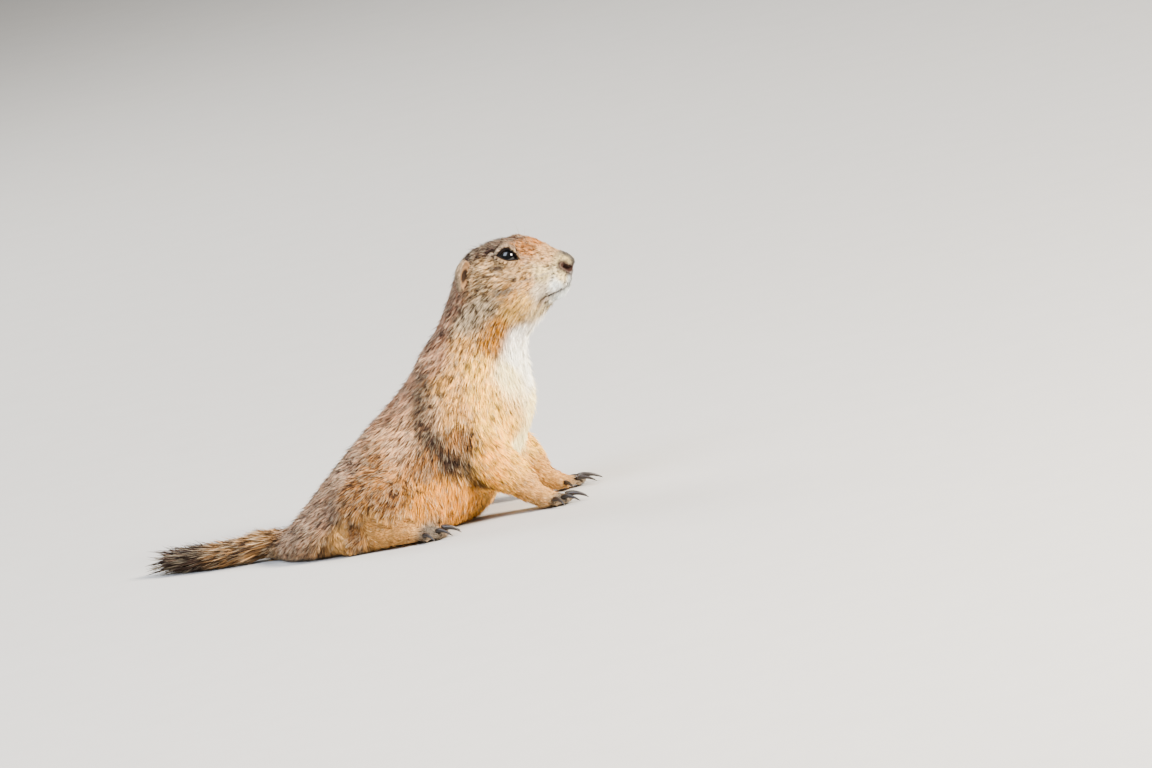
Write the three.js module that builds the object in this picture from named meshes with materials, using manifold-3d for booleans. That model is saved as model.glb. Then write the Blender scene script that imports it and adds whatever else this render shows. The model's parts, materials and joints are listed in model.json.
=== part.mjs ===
// A black-tailed prairie dog at life size, resting on its haunches with its forepaws on the ground.
// Millimetres, +Z up. The animal looks along +X and its right side is at -Y.
// The outer faces are the outline of the coat, not of the skin.
import * as THREE from "three";
import { mergeVertices } from "three/addons/utils/BufferGeometryUtils.js";
import Module from "manifold-3d";

const wasm = await Module();
wasm.setup();

// Driving dimensions
const gap = 0.4; // air between two nodes that meet
const sliver = 0.03; // faces are merged where that moves the surface less than this
const weld = 0.001; // corners closer than this are one
const torsoHalfWidth = 44; // at the haunches, out to the tips of the coat
const headHalfWidth = 22.5; // at the cheeks
const sideNames = { r: -1, l: 1 }; // right side at -Y, left side at +Y
const leftPawReach = -2; // how much further forward the left forepaw is set

// Side outline from tail to nose. Each slice has its point on the back and on the belly as (x, z), half its width,
// how square its section is, and how much wider the section is towards the belly.
const trunkSlices = [
  { back: [-136, 7], belly: [-135, 1], half: 5, square: 2.0, pear: 0 },
  { back: [-131.5, 10], belly: [-126, -2], half: 20, square: 2.1, pear: 0.06 },
  { back: [-118.5, 20.5], belly: [-108, -4], half: 0.82 * torsoHalfWidth, square: 2.2, pear: 0.14 },
  { back: [-101, 35], belly: [-84, -4], half: 0.96 * torsoHalfWidth, square: 2.2, pear: 0.18 },
  { back: [-84, 48.5], belly: [-58, -3], half: 0.98 * torsoHalfWidth, square: 2.1, pear: 0.17 },
  { back: [-70, 58.5], belly: [-34, 1], half: 0.9 * torsoHalfWidth, square: 2.1, pear: 0.13 },
  { back: [-58.5, 67], belly: [-16, 18], half: 0.81 * torsoHalfWidth, square: 2.1, pear: 0.07 },
  { back: [-50, 75], belly: [-1.4, 37.4], half: 0.73 * torsoHalfWidth, square: 2.1, pear: 0.02 },
  { back: [-43, 83.6], belly: [4.2, 50], half: 0.64 * torsoHalfWidth, square: 2.1, pear: 0 },
  { back: [-35.2, 90.6], belly: [5.2, 63], half: 0.56 * torsoHalfWidth, square: 2.1, pear: 0 },
  { back: [-29.8, 97.7], belly: [6.4, 74], half: 0.5 * torsoHalfWidth, square: 2.1, pear: 0 },
  { back: [-24.4, 105.2], belly: [11.5, 81.6], half: 0.94 * headHalfWidth, square: 2.2, pear: 0.03 },
  { back: [-18.6, 114.6], belly: [17, 86], half: 0.98 * headHalfWidth, square: 2.3, pear: 0.06 },
  { back: [-10.8, 123.6], belly: [20.4, 89], half: headHalfWidth, square: 2.4, pear: 0.08 },
  { back: [-0.4, 127], belly: [22.7, 91.2], half: 0.92 * headHalfWidth, square: 2.5, pear: 0.06 },
  { back: [10, 127.3], belly: [25, 92.8], half: 0.8 * headHalfWidth, square: 2.6, pear: 0.04 },
  { back: [18, 126.3], belly: [28, 94], half: 0.66 * headHalfWidth, square: 2.5, pear: 0.04 },
  { back: [24.3, 123.2], belly: [31, 95.5], half: 0.53 * headHalfWidth, square: 2.4, pear: 0.06 },
  { back: [29.8, 118.7], belly: [34, 98.4], half: 0.42 * headHalfWidth, square: 2.3, pear: 0.1 },
  { back: [34.4, 115.3], belly: [35.6, 102], half: 0.34 * headHalfWidth, square: 2.3, pear: 0.08 },
  { back: [37.3, 112.6], belly: [37, 105], half: 0.24 * headHalfWidth, square: 2.1, pear: 0 },
  { back: [38.5, 110.4], belly: [38.2, 107.4], half: 0.1 * headHalfWidth, square: 2, pear: 0 },
];
const trunkRings = 48;
const trunkSides = 28;
const neckStart = 9.6; // slice number where the torso ends
const headStart = 11.4; // slice number where the head starts

// Head. Places are those of the left side, and the right side is their mirror image.
const eye = {
  radius: 5.3,
  centre: [10.9, 12.2, 119.4],
  aim: [0.24, 0.92, 0.34], // where the pupil looks
  opening: { length: 10.2, height: 6.2, tilt: -17 }, // between the lids; the tilt is in degrees, front end down
  lid: 0.7, // thickness of the lids
};
const ear = {
  centre: [-11.4, 18.6, 116.8],
  height: 14.2,
  width: 8.6,
  depth: 6.4,
  wall: 1.1,
  turn: [0.25, 0.42, -0.62], // radians about x, y and z
  hollowShift: [0.9, 1.9, 0], // of the cup from the ear's centre, in the ear's own axes
};
const nostril = { centre: [36.4, 4.9, 108.2], half: [1.9, 0.9, 1.3], turn: [0.4, 0.35, -0.75] };
const philtrum = { centre: [38.7, 0, 103], size: [4, 0.7, 9], lean: 0.35 };
const lipLine = [
  [21, 15, 98.6],
  [26, 12.4, 98.9],
  [31.5, 8.4, 99.4],
  [35, 3.9, 100.4],
];
const lipMiddle = [36.2, 0, 100.8];
const lipGroove = { wide: 0.55, deep: 1.6 };

// Legs as stations along their middle line: place (x, y, z) for the left side, half the width across and half the depth
const foreleg = [
  { at: [-26, 13, 62], across: 14, deep: 17 },
  { at: [-27, 18, 50], across: 14, deep: 18 },
  { at: [-25, 22.5, 38], across: 12.5, deep: 16.5 },
  { at: [-19, 24, 27.5], across: 10.5, deep: 13.5 },
  { at: [-11.5, 23, 20], across: 8.4, deep: 10.6 },
  { at: [-6, 21.5, 14], across: 7, deep: 8 },
];
const forepaw = {
  stations: [
    { at: [-6, 21, 10.8], across: 6.2, deep: 6.2 },
    { at: [-1.5, 21.5, 7.4], across: 6.2, deep: 5.4 },
    { at: [3, 22, 4.1], across: 6.8, deep: 5.1 },
  ],
  turnOut: 16, // degrees that the paw points away from straight ahead
  rootHeight: 4.4, // of the digits, above the ground
  // each digit's angle from the paw's own line, outer side positive; its root's distance from the last station;
  // its length; its half thickness; and how far its claw reaches past it
  digits: [
    { angle: -62, root: 2, length: 7, half: 1.7, claw: 3.2 },
    { angle: -24, root: 3, length: 9.5, half: 2.2, claw: 6.4 },
    { angle: -6, root: 3.4, length: 10.6, half: 2.3, claw: 7 },
    { angle: 12, root: 3, length: 9.8, half: 2.2, claw: 6.8 },
    { angle: 34, root: 2.4, length: 8, half: 2.1, claw: 5.8 },
  ],
  claw: { wide: 1.15, high: 1.3 }, // half sizes of a claw at its root
};
const thigh = [
  { at: [-90, 27, 16], across: 14, deep: 14 },
  { at: [-80, 30, 19], across: 16.5, deep: 18.5 },
  { at: [-67, 33.5, 19.5], across: 16, deep: 18.5 },
  { at: [-55, 35.5, 15.5], across: 12.5, deep: 13.5 },
];
const hindfoot = {
  stations: [
    { at: [-93, 37.5, 6.3], across: 6.8, deep: 6.8 },
    { at: [-77, 41, 6.2], across: 7.4, deep: 6.8 },
    { at: [-59, 45, 4.9], across: 8.4, deep: 5.4 },
  ],
  turnOut: 10,
  rootHeight: 4.6,
  digits: [
    { angle: -40, root: 4, length: 8.5, half: 2, claw: 3.8 },
    { angle: -17, root: 5, length: 12, half: 2.5, claw: 5 },
    { angle: -1, root: 5, length: 13.5, half: 2.6, claw: 5.4 },
    { angle: 14, root: 5, length: 12, half: 2.5, claw: 5 },
    { angle: 36, root: 4, length: 8.8, half: 2.2, claw: 4.2 },
  ],
  claw: { wide: 1.1, high: 1.2 },
};

// Tail, lying on the ground and bending to the left, with tiers of locks that make its brush
const tail = [
  { at: [-128, 0, 8], across: 9, deep: 8 },
  { at: [-142, 1, 7.2], across: 7.6, deep: 6.6 },
  { at: [-160, 6, 6.4], across: 5, deep: 4.8 },
  { at: [-176, 13.5, 6], across: 4, deep: 3.8 },
  { at: [-190, 22, 5.6], across: 2.8, deep: 2.6 },
];
const brush = {
  tiers: [0.32, 0.5, 0.67, 0.83, 0.97], // where the tiers start, as shares of the tail's length
  locksInTier: 4,
  length: 25,
  half: [4.8, 0.9], // half width and half thickness of a lock
  lift: 15, // degrees between a lock's root and the tail
  sink: 2.2, // how deep its root sits in the tail
  spread: 0.16, // how much the locks differ in length and angle
  taper: [0.7, 1, 0.85, 0.12], // width along a lock
  seed: 15,
};

// Colours of the coat and of the bare parts
const colours = { back: 0xa98362, flank: 0xc69a66, paw: 0xcfa873, claw: 0x2a2623, eye: 0x0b0908 };

const radians = (degrees) => (degrees * Math.PI) / 180;
const vector = (values) => new THREE.Vector3(...values);
const mirrored = (values, side) => new THREE.Vector3(values[0], values[1] * side, values[2]);
const mirroredTurn = (turn, side) =>
  new THREE.Quaternion().setFromEuler(new THREE.Euler(turn[0] * side, turn[1], turn[2] * side));

// A manifold-3d solid from a closed three.js geometry
function solid(geometry) {
  const bare = geometry.index ? geometry.toNonIndexed() : geometry.clone();
  bare.deleteAttribute("normal");
  bare.deleteAttribute("uv");
  const merged = mergeVertices(bare, weld);
  return new wasm.Manifold(
    new wasm.Mesh({
      numProp: 3,
      vertProperties: new Float32Array(merged.attributes.position.array),
      triVerts: new Uint32Array(merged.index.array),
    }),
  );
}

// A solid's faces as a three.js geometry
function facesOf(piece) {
  const mesh = piece.getMesh();
  const places = new Float32Array(mesh.numVert * 3);
  for (let i = 0; i < mesh.numVert; i++) {
    places.set(mesh.vertProperties.subarray(i * mesh.numProp, i * mesh.numProp + 3), i * 3);
  }
  const geometry = new THREE.BufferGeometry();
  geometry.setAttribute("position", new THREE.BufferAttribute(places, 3));
  geometry.setIndex(new THREE.BufferAttribute(new Uint32Array(mesh.triVerts), 1));
  geometry.computeVertexNormals();
  return geometry;
}

// The largest closed surface of a solid without its slivers, where corners that touch are one
function geometryOf(piece) {
  const bodies = solid(facesOf(piece.simplify(sliver))).decompose();
  return facesOf(bodies.sort((a, b) => b.volume() - a.volume())[0]);
}

// The same solid with its surface moved out by the gap, to cut its neighbours back
function grown(piece) {
  const geometry = geometryOf(piece);
  const place = geometry.attributes.position;
  const normal = geometry.attributes.normal;
  for (let i = 0; i < place.count; i++) {
    place.setXYZ(
      i,
      place.getX(i) + gap * normal.getX(i),
      place.getY(i) + gap * normal.getY(i),
      place.getZ(i) + gap * normal.getZ(i),
    );
  }
  return solid(geometry);
}

// A closed surface through rings of equally many points, with a fan at each end
function loft(rings) {
  const sides = rings[0].length;
  const middle = (ring) => ring.reduce((sum, p) => sum.add(p), new THREE.Vector3()).divideScalar(sides);
  const points = [...rings.flat(), middle(rings[0]), middle(rings.at(-1))];
  const faces = [];
  for (let r = 0; r + 1 < rings.length; r++) {
    for (let s = 0; s < sides; s++) {
      const a = r * sides + s;
      const b = r * sides + ((s + 1) % sides);
      faces.push(a, b, a + sides, b, b + sides, a + sides);
    }
  }
  const last = (rings.length - 1) * sides;
  for (let s = 0; s < sides; s++) {
    const next = (s + 1) % sides;
    faces.push(next, s, points.length - 2);
    faces.push(last + s, last + next, points.length - 1);
  }
  const geometry = new THREE.BufferGeometry().setFromPoints(points);
  geometry.setIndex(faces);
  return geometry;
}

// A ring of points round a centre, from two half axes
function ringOf(centre, across, deep, sides) {
  return Array.from({ length: sides }, (_, s) => {
    const angle = (s / sides) * 2 * Math.PI;
    return centre.clone().addScaledVector(across, Math.cos(angle)).addScaledVector(deep, Math.sin(angle));
  });
}

// A round-ended tube along stations, each with its place, half its width across and half its depth
const caps = { fine: [74, 50, 25], plain: [48] }; // rings of an end, in degrees from the tube's rim
function tube(stations, sides, steps, cap = caps.fine) {
  const line = new THREE.CatmullRomCurve3(stations.map((s) => vector(s.at)));
  const size = new THREE.CatmullRomCurve3(stations.map((s) => new THREE.Vector3(s.across, s.deep, 0)));
  const ring = (share, shift, scale) => {
    const along = line.getTangent(share);
    const across = new THREE.Vector3(0, 1, 0).addScaledVector(along, -along.y).normalize();
    const deep = new THREE.Vector3().crossVectors(along, across);
    const half = size.getPoint(share);
    const centre = line.getPoint(share).addScaledVector(along, shift * Math.min(half.x, half.y));
    return ringOf(centre, across.multiplyScalar(half.x * scale), deep.multiplyScalar(half.y * scale), sides);
  };
  const angles = cap.map(radians);
  const rings = angles.map((angle) => ring(0, -Math.sin(angle), Math.cos(angle)));
  for (let i = 0; i <= steps; i++) {
    rings.push(ring(i / steps, 0, 1));
  }
  rings.push(...angles.reverse().map((angle) => ring(1, Math.sin(angle), Math.cos(angle))));
  return solid(loft(rings));
}

// An ellipsoid from its half axes, turned by a quaternion and set at a place
function ellipsoid(place, halves, turn, detail) {
  const geometry = new THREE.SphereGeometry(1, detail, Math.round(detail * 0.6));
  const matrix = new THREE.Matrix4().compose(place, turn, vector(halves));
  return solid(geometry.applyMatrix4(matrix));
}

const unturned = new THREE.Quaternion();
const ball = (place, radius, detail) => ellipsoid(place, [radius, radius, radius], unturned, detail);
const join = (pieces) => pieces.reduce((sum, piece) => sum.add(piece));

const blockSize = 800; // of the blocks that cut the animal, far larger than it
const ground = solid(new THREE.BoxGeometry(blockSize, blockSize, blockSize).translate(0, 0, -blockSize / 2));

const nodes = new Map();
const keep = (name, piece, colour) => nodes.set(name, { piece, colour });

// The trunk's slice at a slice number, which may lie between two slices
const backLine = new THREE.CatmullRomCurve3(trunkSlices.map((s) => new THREE.Vector3(s.back[0], 0, s.back[1])));
const bellyLine = new THREE.CatmullRomCurve3(trunkSlices.map((s) => new THREE.Vector3(s.belly[0], 0, s.belly[1])));
const sectionLine = new THREE.CatmullRomCurve3(trunkSlices.map((s) => new THREE.Vector3(s.half, s.square, s.pear)));

function trunkSlice(number) {
  const share = number / (trunkSlices.length - 1);
  const back = backLine.getPoint(share);
  const belly = bellyLine.getPoint(share);
  const section = sectionLine.getPoint(share);
  return { back, belly, half: section.x, square: section.y, pear: section.z };
}

// A ring of the trunk: a superellipse, wider towards the belly
function trunkRing(number) {
  const { back, belly, half, square, pear } = trunkSlice(number);
  const bend = (value) => Math.sign(value) * Math.abs(value) ** (2 / square);
  const centre = back.clone().add(belly).multiplyScalar(0.5);
  const up = back.clone().sub(belly).multiplyScalar(0.5);
  return Array.from({ length: trunkSides }, (_, s) => {
    const angle = (s / trunkSides) * 2 * Math.PI;
    const rise = bend(Math.sin(angle));
    const across = bend(Math.cos(angle)) * half * (1 - pear * rise);
    return centre.clone().addScaledVector(up, rise).add(new THREE.Vector3(0, across, 0));
  });
}

// A half space as a big block, ahead of or behind the trunk's slice at a slice number
function halfSpace(number, ahead) {
  const { back, belly } = trunkSlice(number);
  const up = back.clone().sub(belly).normalize();
  const forward = new THREE.Vector3(up.z, 0, -up.x);
  const turn = new THREE.Matrix4().makeBasis(forward, new THREE.Vector3(0, 1, 0), up);
  const reach = (blockSize / 2 + gap / 2) * (ahead ? 1 : -1);
  const centre = back.clone().add(belly).multiplyScalar(0.5).addScaledVector(forward, reach);
  const block = new THREE.BoxGeometry(blockSize, blockSize, blockSize).applyMatrix4(turn);
  return solid(block.translate(...centre.toArray()));
}

// Trunk, parted into torso, neck and head
const trunkNumbers = Array.from({ length: trunkRings }, (_, i) => (i / (trunkRings - 1)) * (trunkSlices.length - 1));
const trunk = solid(loft(trunkNumbers.map(trunkRing))).subtract(ground);
const torso = trunk.intersect(halfSpace(neckStart, false));
const neck = trunk.intersect(halfSpace(neckStart, true)).intersect(halfSpace(headStart, false));
let head = trunk.intersect(halfSpace(headStart, true));

// The axes of an eye: where it looks, along the opening towards the nose, and across it
function eyeFrame(side) {
  const aim = mirrored(eye.aim, side).normalize();
  const tilt = radians(eye.opening.tilt);
  const level = new THREE.Vector3(1, 0, 0).addScaledVector(aim, -aim.x).normalize();
  const rise = new THREE.Vector3().crossVectors(aim, level).multiplyScalar(-side);
  const along = level.clone().multiplyScalar(Math.cos(tilt)).addScaledVector(rise, Math.sin(tilt));
  const upright = new THREE.Vector3().crossVectors(along, aim).multiplyScalar(side);
  return { along, upright, centre: mirrored(eye.centre, side) };
}

// The almond between the lids, as a prism along the line of sight
function lidOpening(side) {
  const { along, upright, centre } = eyeFrame(side);
  const { length, height } = eye.opening;
  const reach = 14; // how far the prism runs out of the eye
  const start = 1.5; // how far from the eye's centre it starts
  const outline = new THREE.Shape();
  outline.moveTo(-length / 2, 0);
  outline.quadraticCurveTo(-length / 5, height * 1.24, length / 2, -height * 0.08);
  outline.quadraticCurveTo(0, -height * 0.9, -length / 2, 0);
  const prism = new THREE.ExtrudeGeometry(outline, { depth: reach, bevelEnabled: false, curveSegments: 6 });
  const normal = new THREE.Vector3().crossVectors(along, upright);
  const outwards = normal.y * side > 0;
  prism.translate(0, 0, outwards ? start : -start - reach);
  prism.applyMatrix4(new THREE.Matrix4().makeBasis(along, upright, normal));
  return solid(prism.translate(...centre.toArray()));
}

// The line of the mouth, a groove round the muzzle from corner to corner
function mouthGroove() {
  const half = (side) => lipLine.map((place) => mirrored(place, side));
  const line = new THREE.CatmullRomCurve3([...half(-1), vector(lipMiddle), ...half(1).reverse()]);
  const slit = new THREE.Shape().absellipse(0, 0, lipGroove.wide, lipGroove.deep, 0, 2 * Math.PI);
  return solid(new THREE.ExtrudeGeometry(slit, { steps: 14, curveSegments: 2, extrudePath: line }));
}

// Lids, mouth, nostrils and philtrum on the head, and the eyes
for (const side of Object.values(sideNames)) {
  head = head.add(ball(mirrored(eye.centre, side), eye.radius + gap + eye.lid, 18));
}
head = head.subtract(mouthGroove());
for (const [mark, side] of Object.entries(sideNames)) {
  const centre = mirrored(eye.centre, side);
  head = head.subtract(ball(centre, eye.radius + gap, 18)).subtract(lidOpening(side));
  const turn = mirroredTurn(nostril.turn, side);
  head = head.subtract(ellipsoid(mirrored(nostril.centre, side), nostril.half, turn, 8));
  keep("eye_" + mark, ball(centre, eye.radius, 14), colours.eye);
}
const philtrumBlock = new THREE.BoxGeometry(...philtrum.size).rotateY(philtrum.lean);
head = head.subtract(solid(philtrumBlock.translate(...philtrum.centre)));
keep("torso", torso, colours.flank);
keep("neck", neck, colours.flank);
keep("head", head, colours.back);

// Ears, each a cup that opens outwards and forwards
for (const [mark, side] of Object.entries(sideNames)) {
  const turn = mirroredTurn(ear.turn, side);
  const centre = mirrored(ear.centre, side);
  const outer = ellipsoid(centre, [ear.width / 2, ear.depth / 2, ear.height / 2], turn, 14);
  const shift = mirrored(ear.hollowShift, side).applyQuaternion(turn);
  const cup = [ear.width / 2 - ear.wall, (ear.depth - ear.wall) / 2, ear.height / 2 - ear.wall];
  const hollow = ellipsoid(centre.clone().add(shift), cup, turn, 12);
  keep("ear_" + mark, outer.subtract(hollow).subtract(grown(head)), colours.flank);
}

// A digit and its claw, the digit bent at the knuckle and the claw curving to the ground
function digit(root, heading, size, rootHeight, clawHalf) {
  const ahead = new THREE.Vector3(Math.cos(heading), Math.sin(heading), 0);
  const at = (distance, height) => root.clone().addScaledVector(ahead, distance).setZ(height).toArray();
  const { half, claw } = size;
  const end = size.root + size.length;
  const toe = tube(
    [
      { at: at(size.root, rootHeight), across: half * 1.1, deep: half * 1.1 },
      { at: at(size.root + size.length * 0.45, half + 0.9), across: half, deep: half * 1.05 },
      { at: at(end - half, half * 0.9 - 0.3), across: half * 0.9, deep: half * 0.9 },
    ],
    8,
    4,
    caps.plain,
  );
  const nail = tube(
    [
      { at: at(end - half * 1.2, half + 0.9), across: clawHalf.wide, deep: clawHalf.high },
      { at: at(end + claw * 0.35, half + 1.1), across: clawHalf.wide * 0.85, deep: clawHalf.high * 0.9 },
      { at: at(end + claw * 0.75, half * 0.6 + 0.9), across: clawHalf.wide * 0.55, deep: clawHalf.high * 0.6 },
      { at: at(end + claw, 1.2), across: 0.35, deep: 0.4 },
    ],
    5,
    3,
    caps.plain,
  );
  return { toe, nail };
}

// A paw with its digits, cut flat by the ground; its claws are kept as nodes of their own
function pawOf(paw, name, side, steps, shift = 0) {
  const stations = paw.stations.map((s) => ({ ...s, at: [s.at[0] + shift, s.at[1] * side, s.at[2]] }));
  const root = vector(stations.at(-1).at);
  const digits = paw.digits.map((size) =>
    digit(root, side * radians(paw.turnOut + size.angle), size, paw.rootHeight, paw.claw),
  );
  const whole = join([tube(stations, 14, steps), ...digits.map((d) => d.toe)]).subtract(ground);
  const cutter = grown(whole);
  digits.forEach((d, i) => keep(`${name}_claw_${i + 1}`, d.nail.subtract(cutter), colours.claw));
  return whole;
}

const torsoCutter = grown(torso);
const neckCutter = grown(neck);
for (const [mark, side] of Object.entries(sideNames)) {
  // Foreleg and forepaw
  const reach = side > 0 ? leftPawReach : 0;
  const stations = foreleg.map((s, i) => {
    const shift = (reach * i) / (foreleg.length - 1);
    return { ...s, at: [s.at[0] + shift, s.at[1] * side, s.at[2]] };
  });
  const paw = pawOf(forepaw, "forepaw_" + mark, side, 5, reach);
  const arm = tube(stations, 18, 14).subtract(torsoCutter).subtract(neckCutter).subtract(ground);
  keep("foreleg_" + mark, arm.subtract(grown(paw)), colours.flank);
  keep("forepaw_" + mark, paw, colours.paw);

  // Thigh and hind foot
  const haunch = tube(
    thigh.map((s) => ({ ...s, at: mirrored(s.at, side).toArray() })),
    20,
    10,
  );
  const foot = pawOf(hindfoot, "hindfoot_" + mark, side, 8).subtract(torsoCutter);
  keep("hindfoot_" + mark, foot, colours.paw);
  keep("hindleg_" + mark, haunch.subtract(torsoCutter).subtract(grown(foot)).subtract(ground), colours.flank);
}

// Even random numbers from 0 to 1, the same on each run
function randomFrom(seed) {
  let state = seed;
  return () => {
    state = (state * 16807) % 2147483647;
    return state / 2147483647;
  };
}

// A flat, tapered lock that leaves its root along the tail and bends back towards it
function lock(root, along, outwards, length, lift) {
  const across = new THREE.Vector3().crossVectors(outwards, along);
  const rings = brush.taper.map((width, i) => {
    const share = i / (brush.taper.length - 1);
    const rise = Math.sin(lift) * length * (share - 0.35 * share * share) - brush.sink * (1 - share) ** 2;
    const centre = root.clone().addScaledVector(along, share * length).addScaledVector(outwards, rise);
    const half = across.clone().multiplyScalar(brush.half[0] * width);
    const thick = outwards.clone().multiplyScalar(brush.half[1] * (0.5 + 0.5 * width));
    return ringOf(centre, half, thick, 4);
  });
  return solid(loft(rings));
}

function tailBrush() {
  const random = randomFrom(brush.seed);
  const vary = () => 1 + brush.spread * (2 * random() - 1);
  const line = new THREE.CatmullRomCurve3(tail.map((s) => vector(s.at)));
  const size = new THREE.CatmullRomCurve3(tail.map((s) => new THREE.Vector3(s.across, s.deep, 0)));
  return brush.tiers.flatMap((share, tier) =>
    Array.from({ length: brush.locksInTier }, (_, i) => {
      const along = line.getTangent(share);
      const side = new THREE.Vector3(0, 1, 0).addScaledVector(along, -along.y).normalize();
      const up = new THREE.Vector3().crossVectors(along, side);
      const angle = ((i + (tier % 2) / 2) / brush.locksInTier) * 2 * Math.PI * vary();
      const outwards = side.multiplyScalar(Math.cos(angle)).addScaledVector(up, Math.sin(angle));
      const half = size.getPoint(share);
      const radius = Math.hypot(half.x * Math.cos(angle), half.y * Math.sin(angle));
      const root = line.getPoint(share).addScaledVector(outwards, radius);
      return lock(root, along, outwards, brush.length * vary(), radians(brush.lift) * vary());
    }),
  );
}

const tailCore = tube(tail, 10, 7, caps.plain);
keep("tail", join([tailCore, ...tailBrush()]).subtract(ground).subtract(torsoCutter), colours.back);

const animal = new THREE.Group();
for (const [name, { piece, colour }] of nodes) {
  const material = new THREE.MeshStandardMaterial({ color: colour, roughness: name.startsWith("eye") ? 0.08 : 0.9 });
  const mesh = new THREE.Mesh(geometryOf(piece), material);
  mesh.name = name;
  animal.add(mesh);
}
const box = new THREE.Box3().setFromObject(animal);
const middle = box.getCenter(new THREE.Vector3());
animal.position.set(-middle.x, -middle.y, -box.min.z);

export default animal;
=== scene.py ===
import json
import math

import bpy
import numpy as np
from mathutils import Matrix, Vector
from mathutils.bvhtree import BVHTree
from mathutils.kdtree import KDTree

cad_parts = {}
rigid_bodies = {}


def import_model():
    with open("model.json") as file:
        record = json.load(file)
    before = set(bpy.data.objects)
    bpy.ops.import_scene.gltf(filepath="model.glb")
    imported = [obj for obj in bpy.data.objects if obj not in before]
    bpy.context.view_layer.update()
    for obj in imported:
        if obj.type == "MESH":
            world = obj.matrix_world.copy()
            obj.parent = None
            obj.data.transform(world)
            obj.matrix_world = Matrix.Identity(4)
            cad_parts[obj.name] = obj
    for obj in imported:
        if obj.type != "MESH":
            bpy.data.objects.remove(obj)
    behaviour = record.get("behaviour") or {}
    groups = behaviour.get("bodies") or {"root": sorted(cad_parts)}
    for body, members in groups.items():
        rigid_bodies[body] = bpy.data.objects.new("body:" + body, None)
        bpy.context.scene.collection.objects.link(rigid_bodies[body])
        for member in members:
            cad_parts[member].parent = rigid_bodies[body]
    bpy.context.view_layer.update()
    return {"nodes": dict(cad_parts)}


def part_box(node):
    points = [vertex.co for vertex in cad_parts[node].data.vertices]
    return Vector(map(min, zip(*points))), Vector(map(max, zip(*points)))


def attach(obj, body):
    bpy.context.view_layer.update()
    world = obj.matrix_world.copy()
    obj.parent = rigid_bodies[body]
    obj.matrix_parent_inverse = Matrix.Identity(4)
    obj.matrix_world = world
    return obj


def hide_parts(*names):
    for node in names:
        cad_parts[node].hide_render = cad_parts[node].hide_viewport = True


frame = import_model()
nodes = frame["nodes"]
random = np.random.default_rng(7)

# The animal's own millimetres: x ahead, y to its left, z up, measured from the place between its forepaws.
eyes = {
    "radius": 5.3,
    "centre": (10.9, 12.2, 119.4),
    "aim": (0.24, 0.92, 0.34),  # where the pupil looks
    "opening": (9.6, -17),  # length between the lids, and degrees down at the front
    "lids": (6.6, -3.3),  # how high the upper lid's curve and the lower lid's curve bend
    "pupil": 3.1,
    "bulge": 0.45,  # of the cornea
    "under": 0.12,  # how far the ball lies under the lids' inner side
    "round": 5,  # how far round the ball its marks and its short hairs reach
    "hair": (1.1, 0.55),  # length at the lids, and how much longer for each millimetre away
}
eyeLow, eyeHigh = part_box("eye_l")
origin = np.array((eyeLow + eyeHigh) / 2) * 1000 - np.array(eyes["centre"])


def toMetres(places):
    return (np.asarray(places, float) + origin) / 1000


def toOwn(places):
    return np.asarray(places, float) * 1000 - origin


def unit(vectors):
    lengths = np.linalg.norm(vectors, axis=-1, keepdims=True)
    return vectors / np.maximum(lengths, 1e-9)


def smoothStep(low, high, values):
    share = np.clip((values - low) / (high - low), 0, 1)
    return share * share * (3 - 2 * share)


def linear(hexTone):
    tone = np.array([int(hexTone[i:i + 2], 16) / 255 for i in (1, 3, 5)])
    return np.where(tone <= 0.04045, tone / 12.92, ((tone + 0.055) / 1.055) ** 2.4)


def activate(*pieces):
    bpy.ops.object.select_all(action="DESELECT")
    for piece in pieces:
        piece.select_set(True)
    bpy.context.view_layer.objects.active = pieces[0]


def joined(pieces):
    activate(*pieces)
    bpy.ops.object.join()
    return bpy.context.object


def added(operator, **settings):
    # a primitive, to be modelled further
    operator(**settings)
    return bpy.context.object


def edit(piece, operator, chosen=None, kind="VERT", **settings):
    # uses an edit mode operator on the whole piece, or on its chosen points or faces
    activate(piece)
    bpy.ops.object.mode_set(mode="EDIT")
    bpy.ops.mesh.select_all(action="SELECT")
    if chosen is not None:
        bpy.ops.mesh.select_mode(type=kind)
        bpy.ops.mesh.select_all(action="DESELECT")
        bpy.ops.object.mode_set(mode="OBJECT")
        items = {"VERT": piece.data.vertices, "FACE": piece.data.polygons}[kind]
        items.foreach_set("select", chosen)
        bpy.ops.object.mode_set(mode="EDIT")
    operator(**settings)
    bpy.ops.object.mode_set(mode="OBJECT")


def turnOut(piece):
    edit(piece, bpy.ops.mesh.normals_make_consistent, inside=False)


def sortFaces(piece):
    # a new ball has its faces in another order each run, and the tufts are drawn in that order
    edit(piece, bpy.ops.mesh.sort_elements, type="CURSOR_DISTANCE", elements={"FACE"})


def copyOf(model, name):
    piece = bpy.data.objects.new(name, model.data.copy())
    bpy.context.scene.collection.objects.link(piece)
    return piece


def valuesOf(items, attribute, width, kind=float):
    values = np.empty(len(items) * width, kind)
    items.foreach_get(attribute, values)
    return values.reshape(-1, width)


def localOf(piece):
    return valuesOf(piece.data.vertices, "co", 3)


def placesOf(piece):
    return toOwn(localOf(piece))


def setPlaces(piece, places):
    piece.data.vertices.foreach_set("co", toMetres(places).ravel())
    piece.data.update()


def trianglesOf(piece):
    piece.data.calc_loop_triangles()
    return valuesOf(piece.data.loop_triangles, "vertices", 3, np.int32)


def edgesOf(piece):
    return valuesOf(piece.data.edges, "vertices", 2, np.int32)


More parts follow.
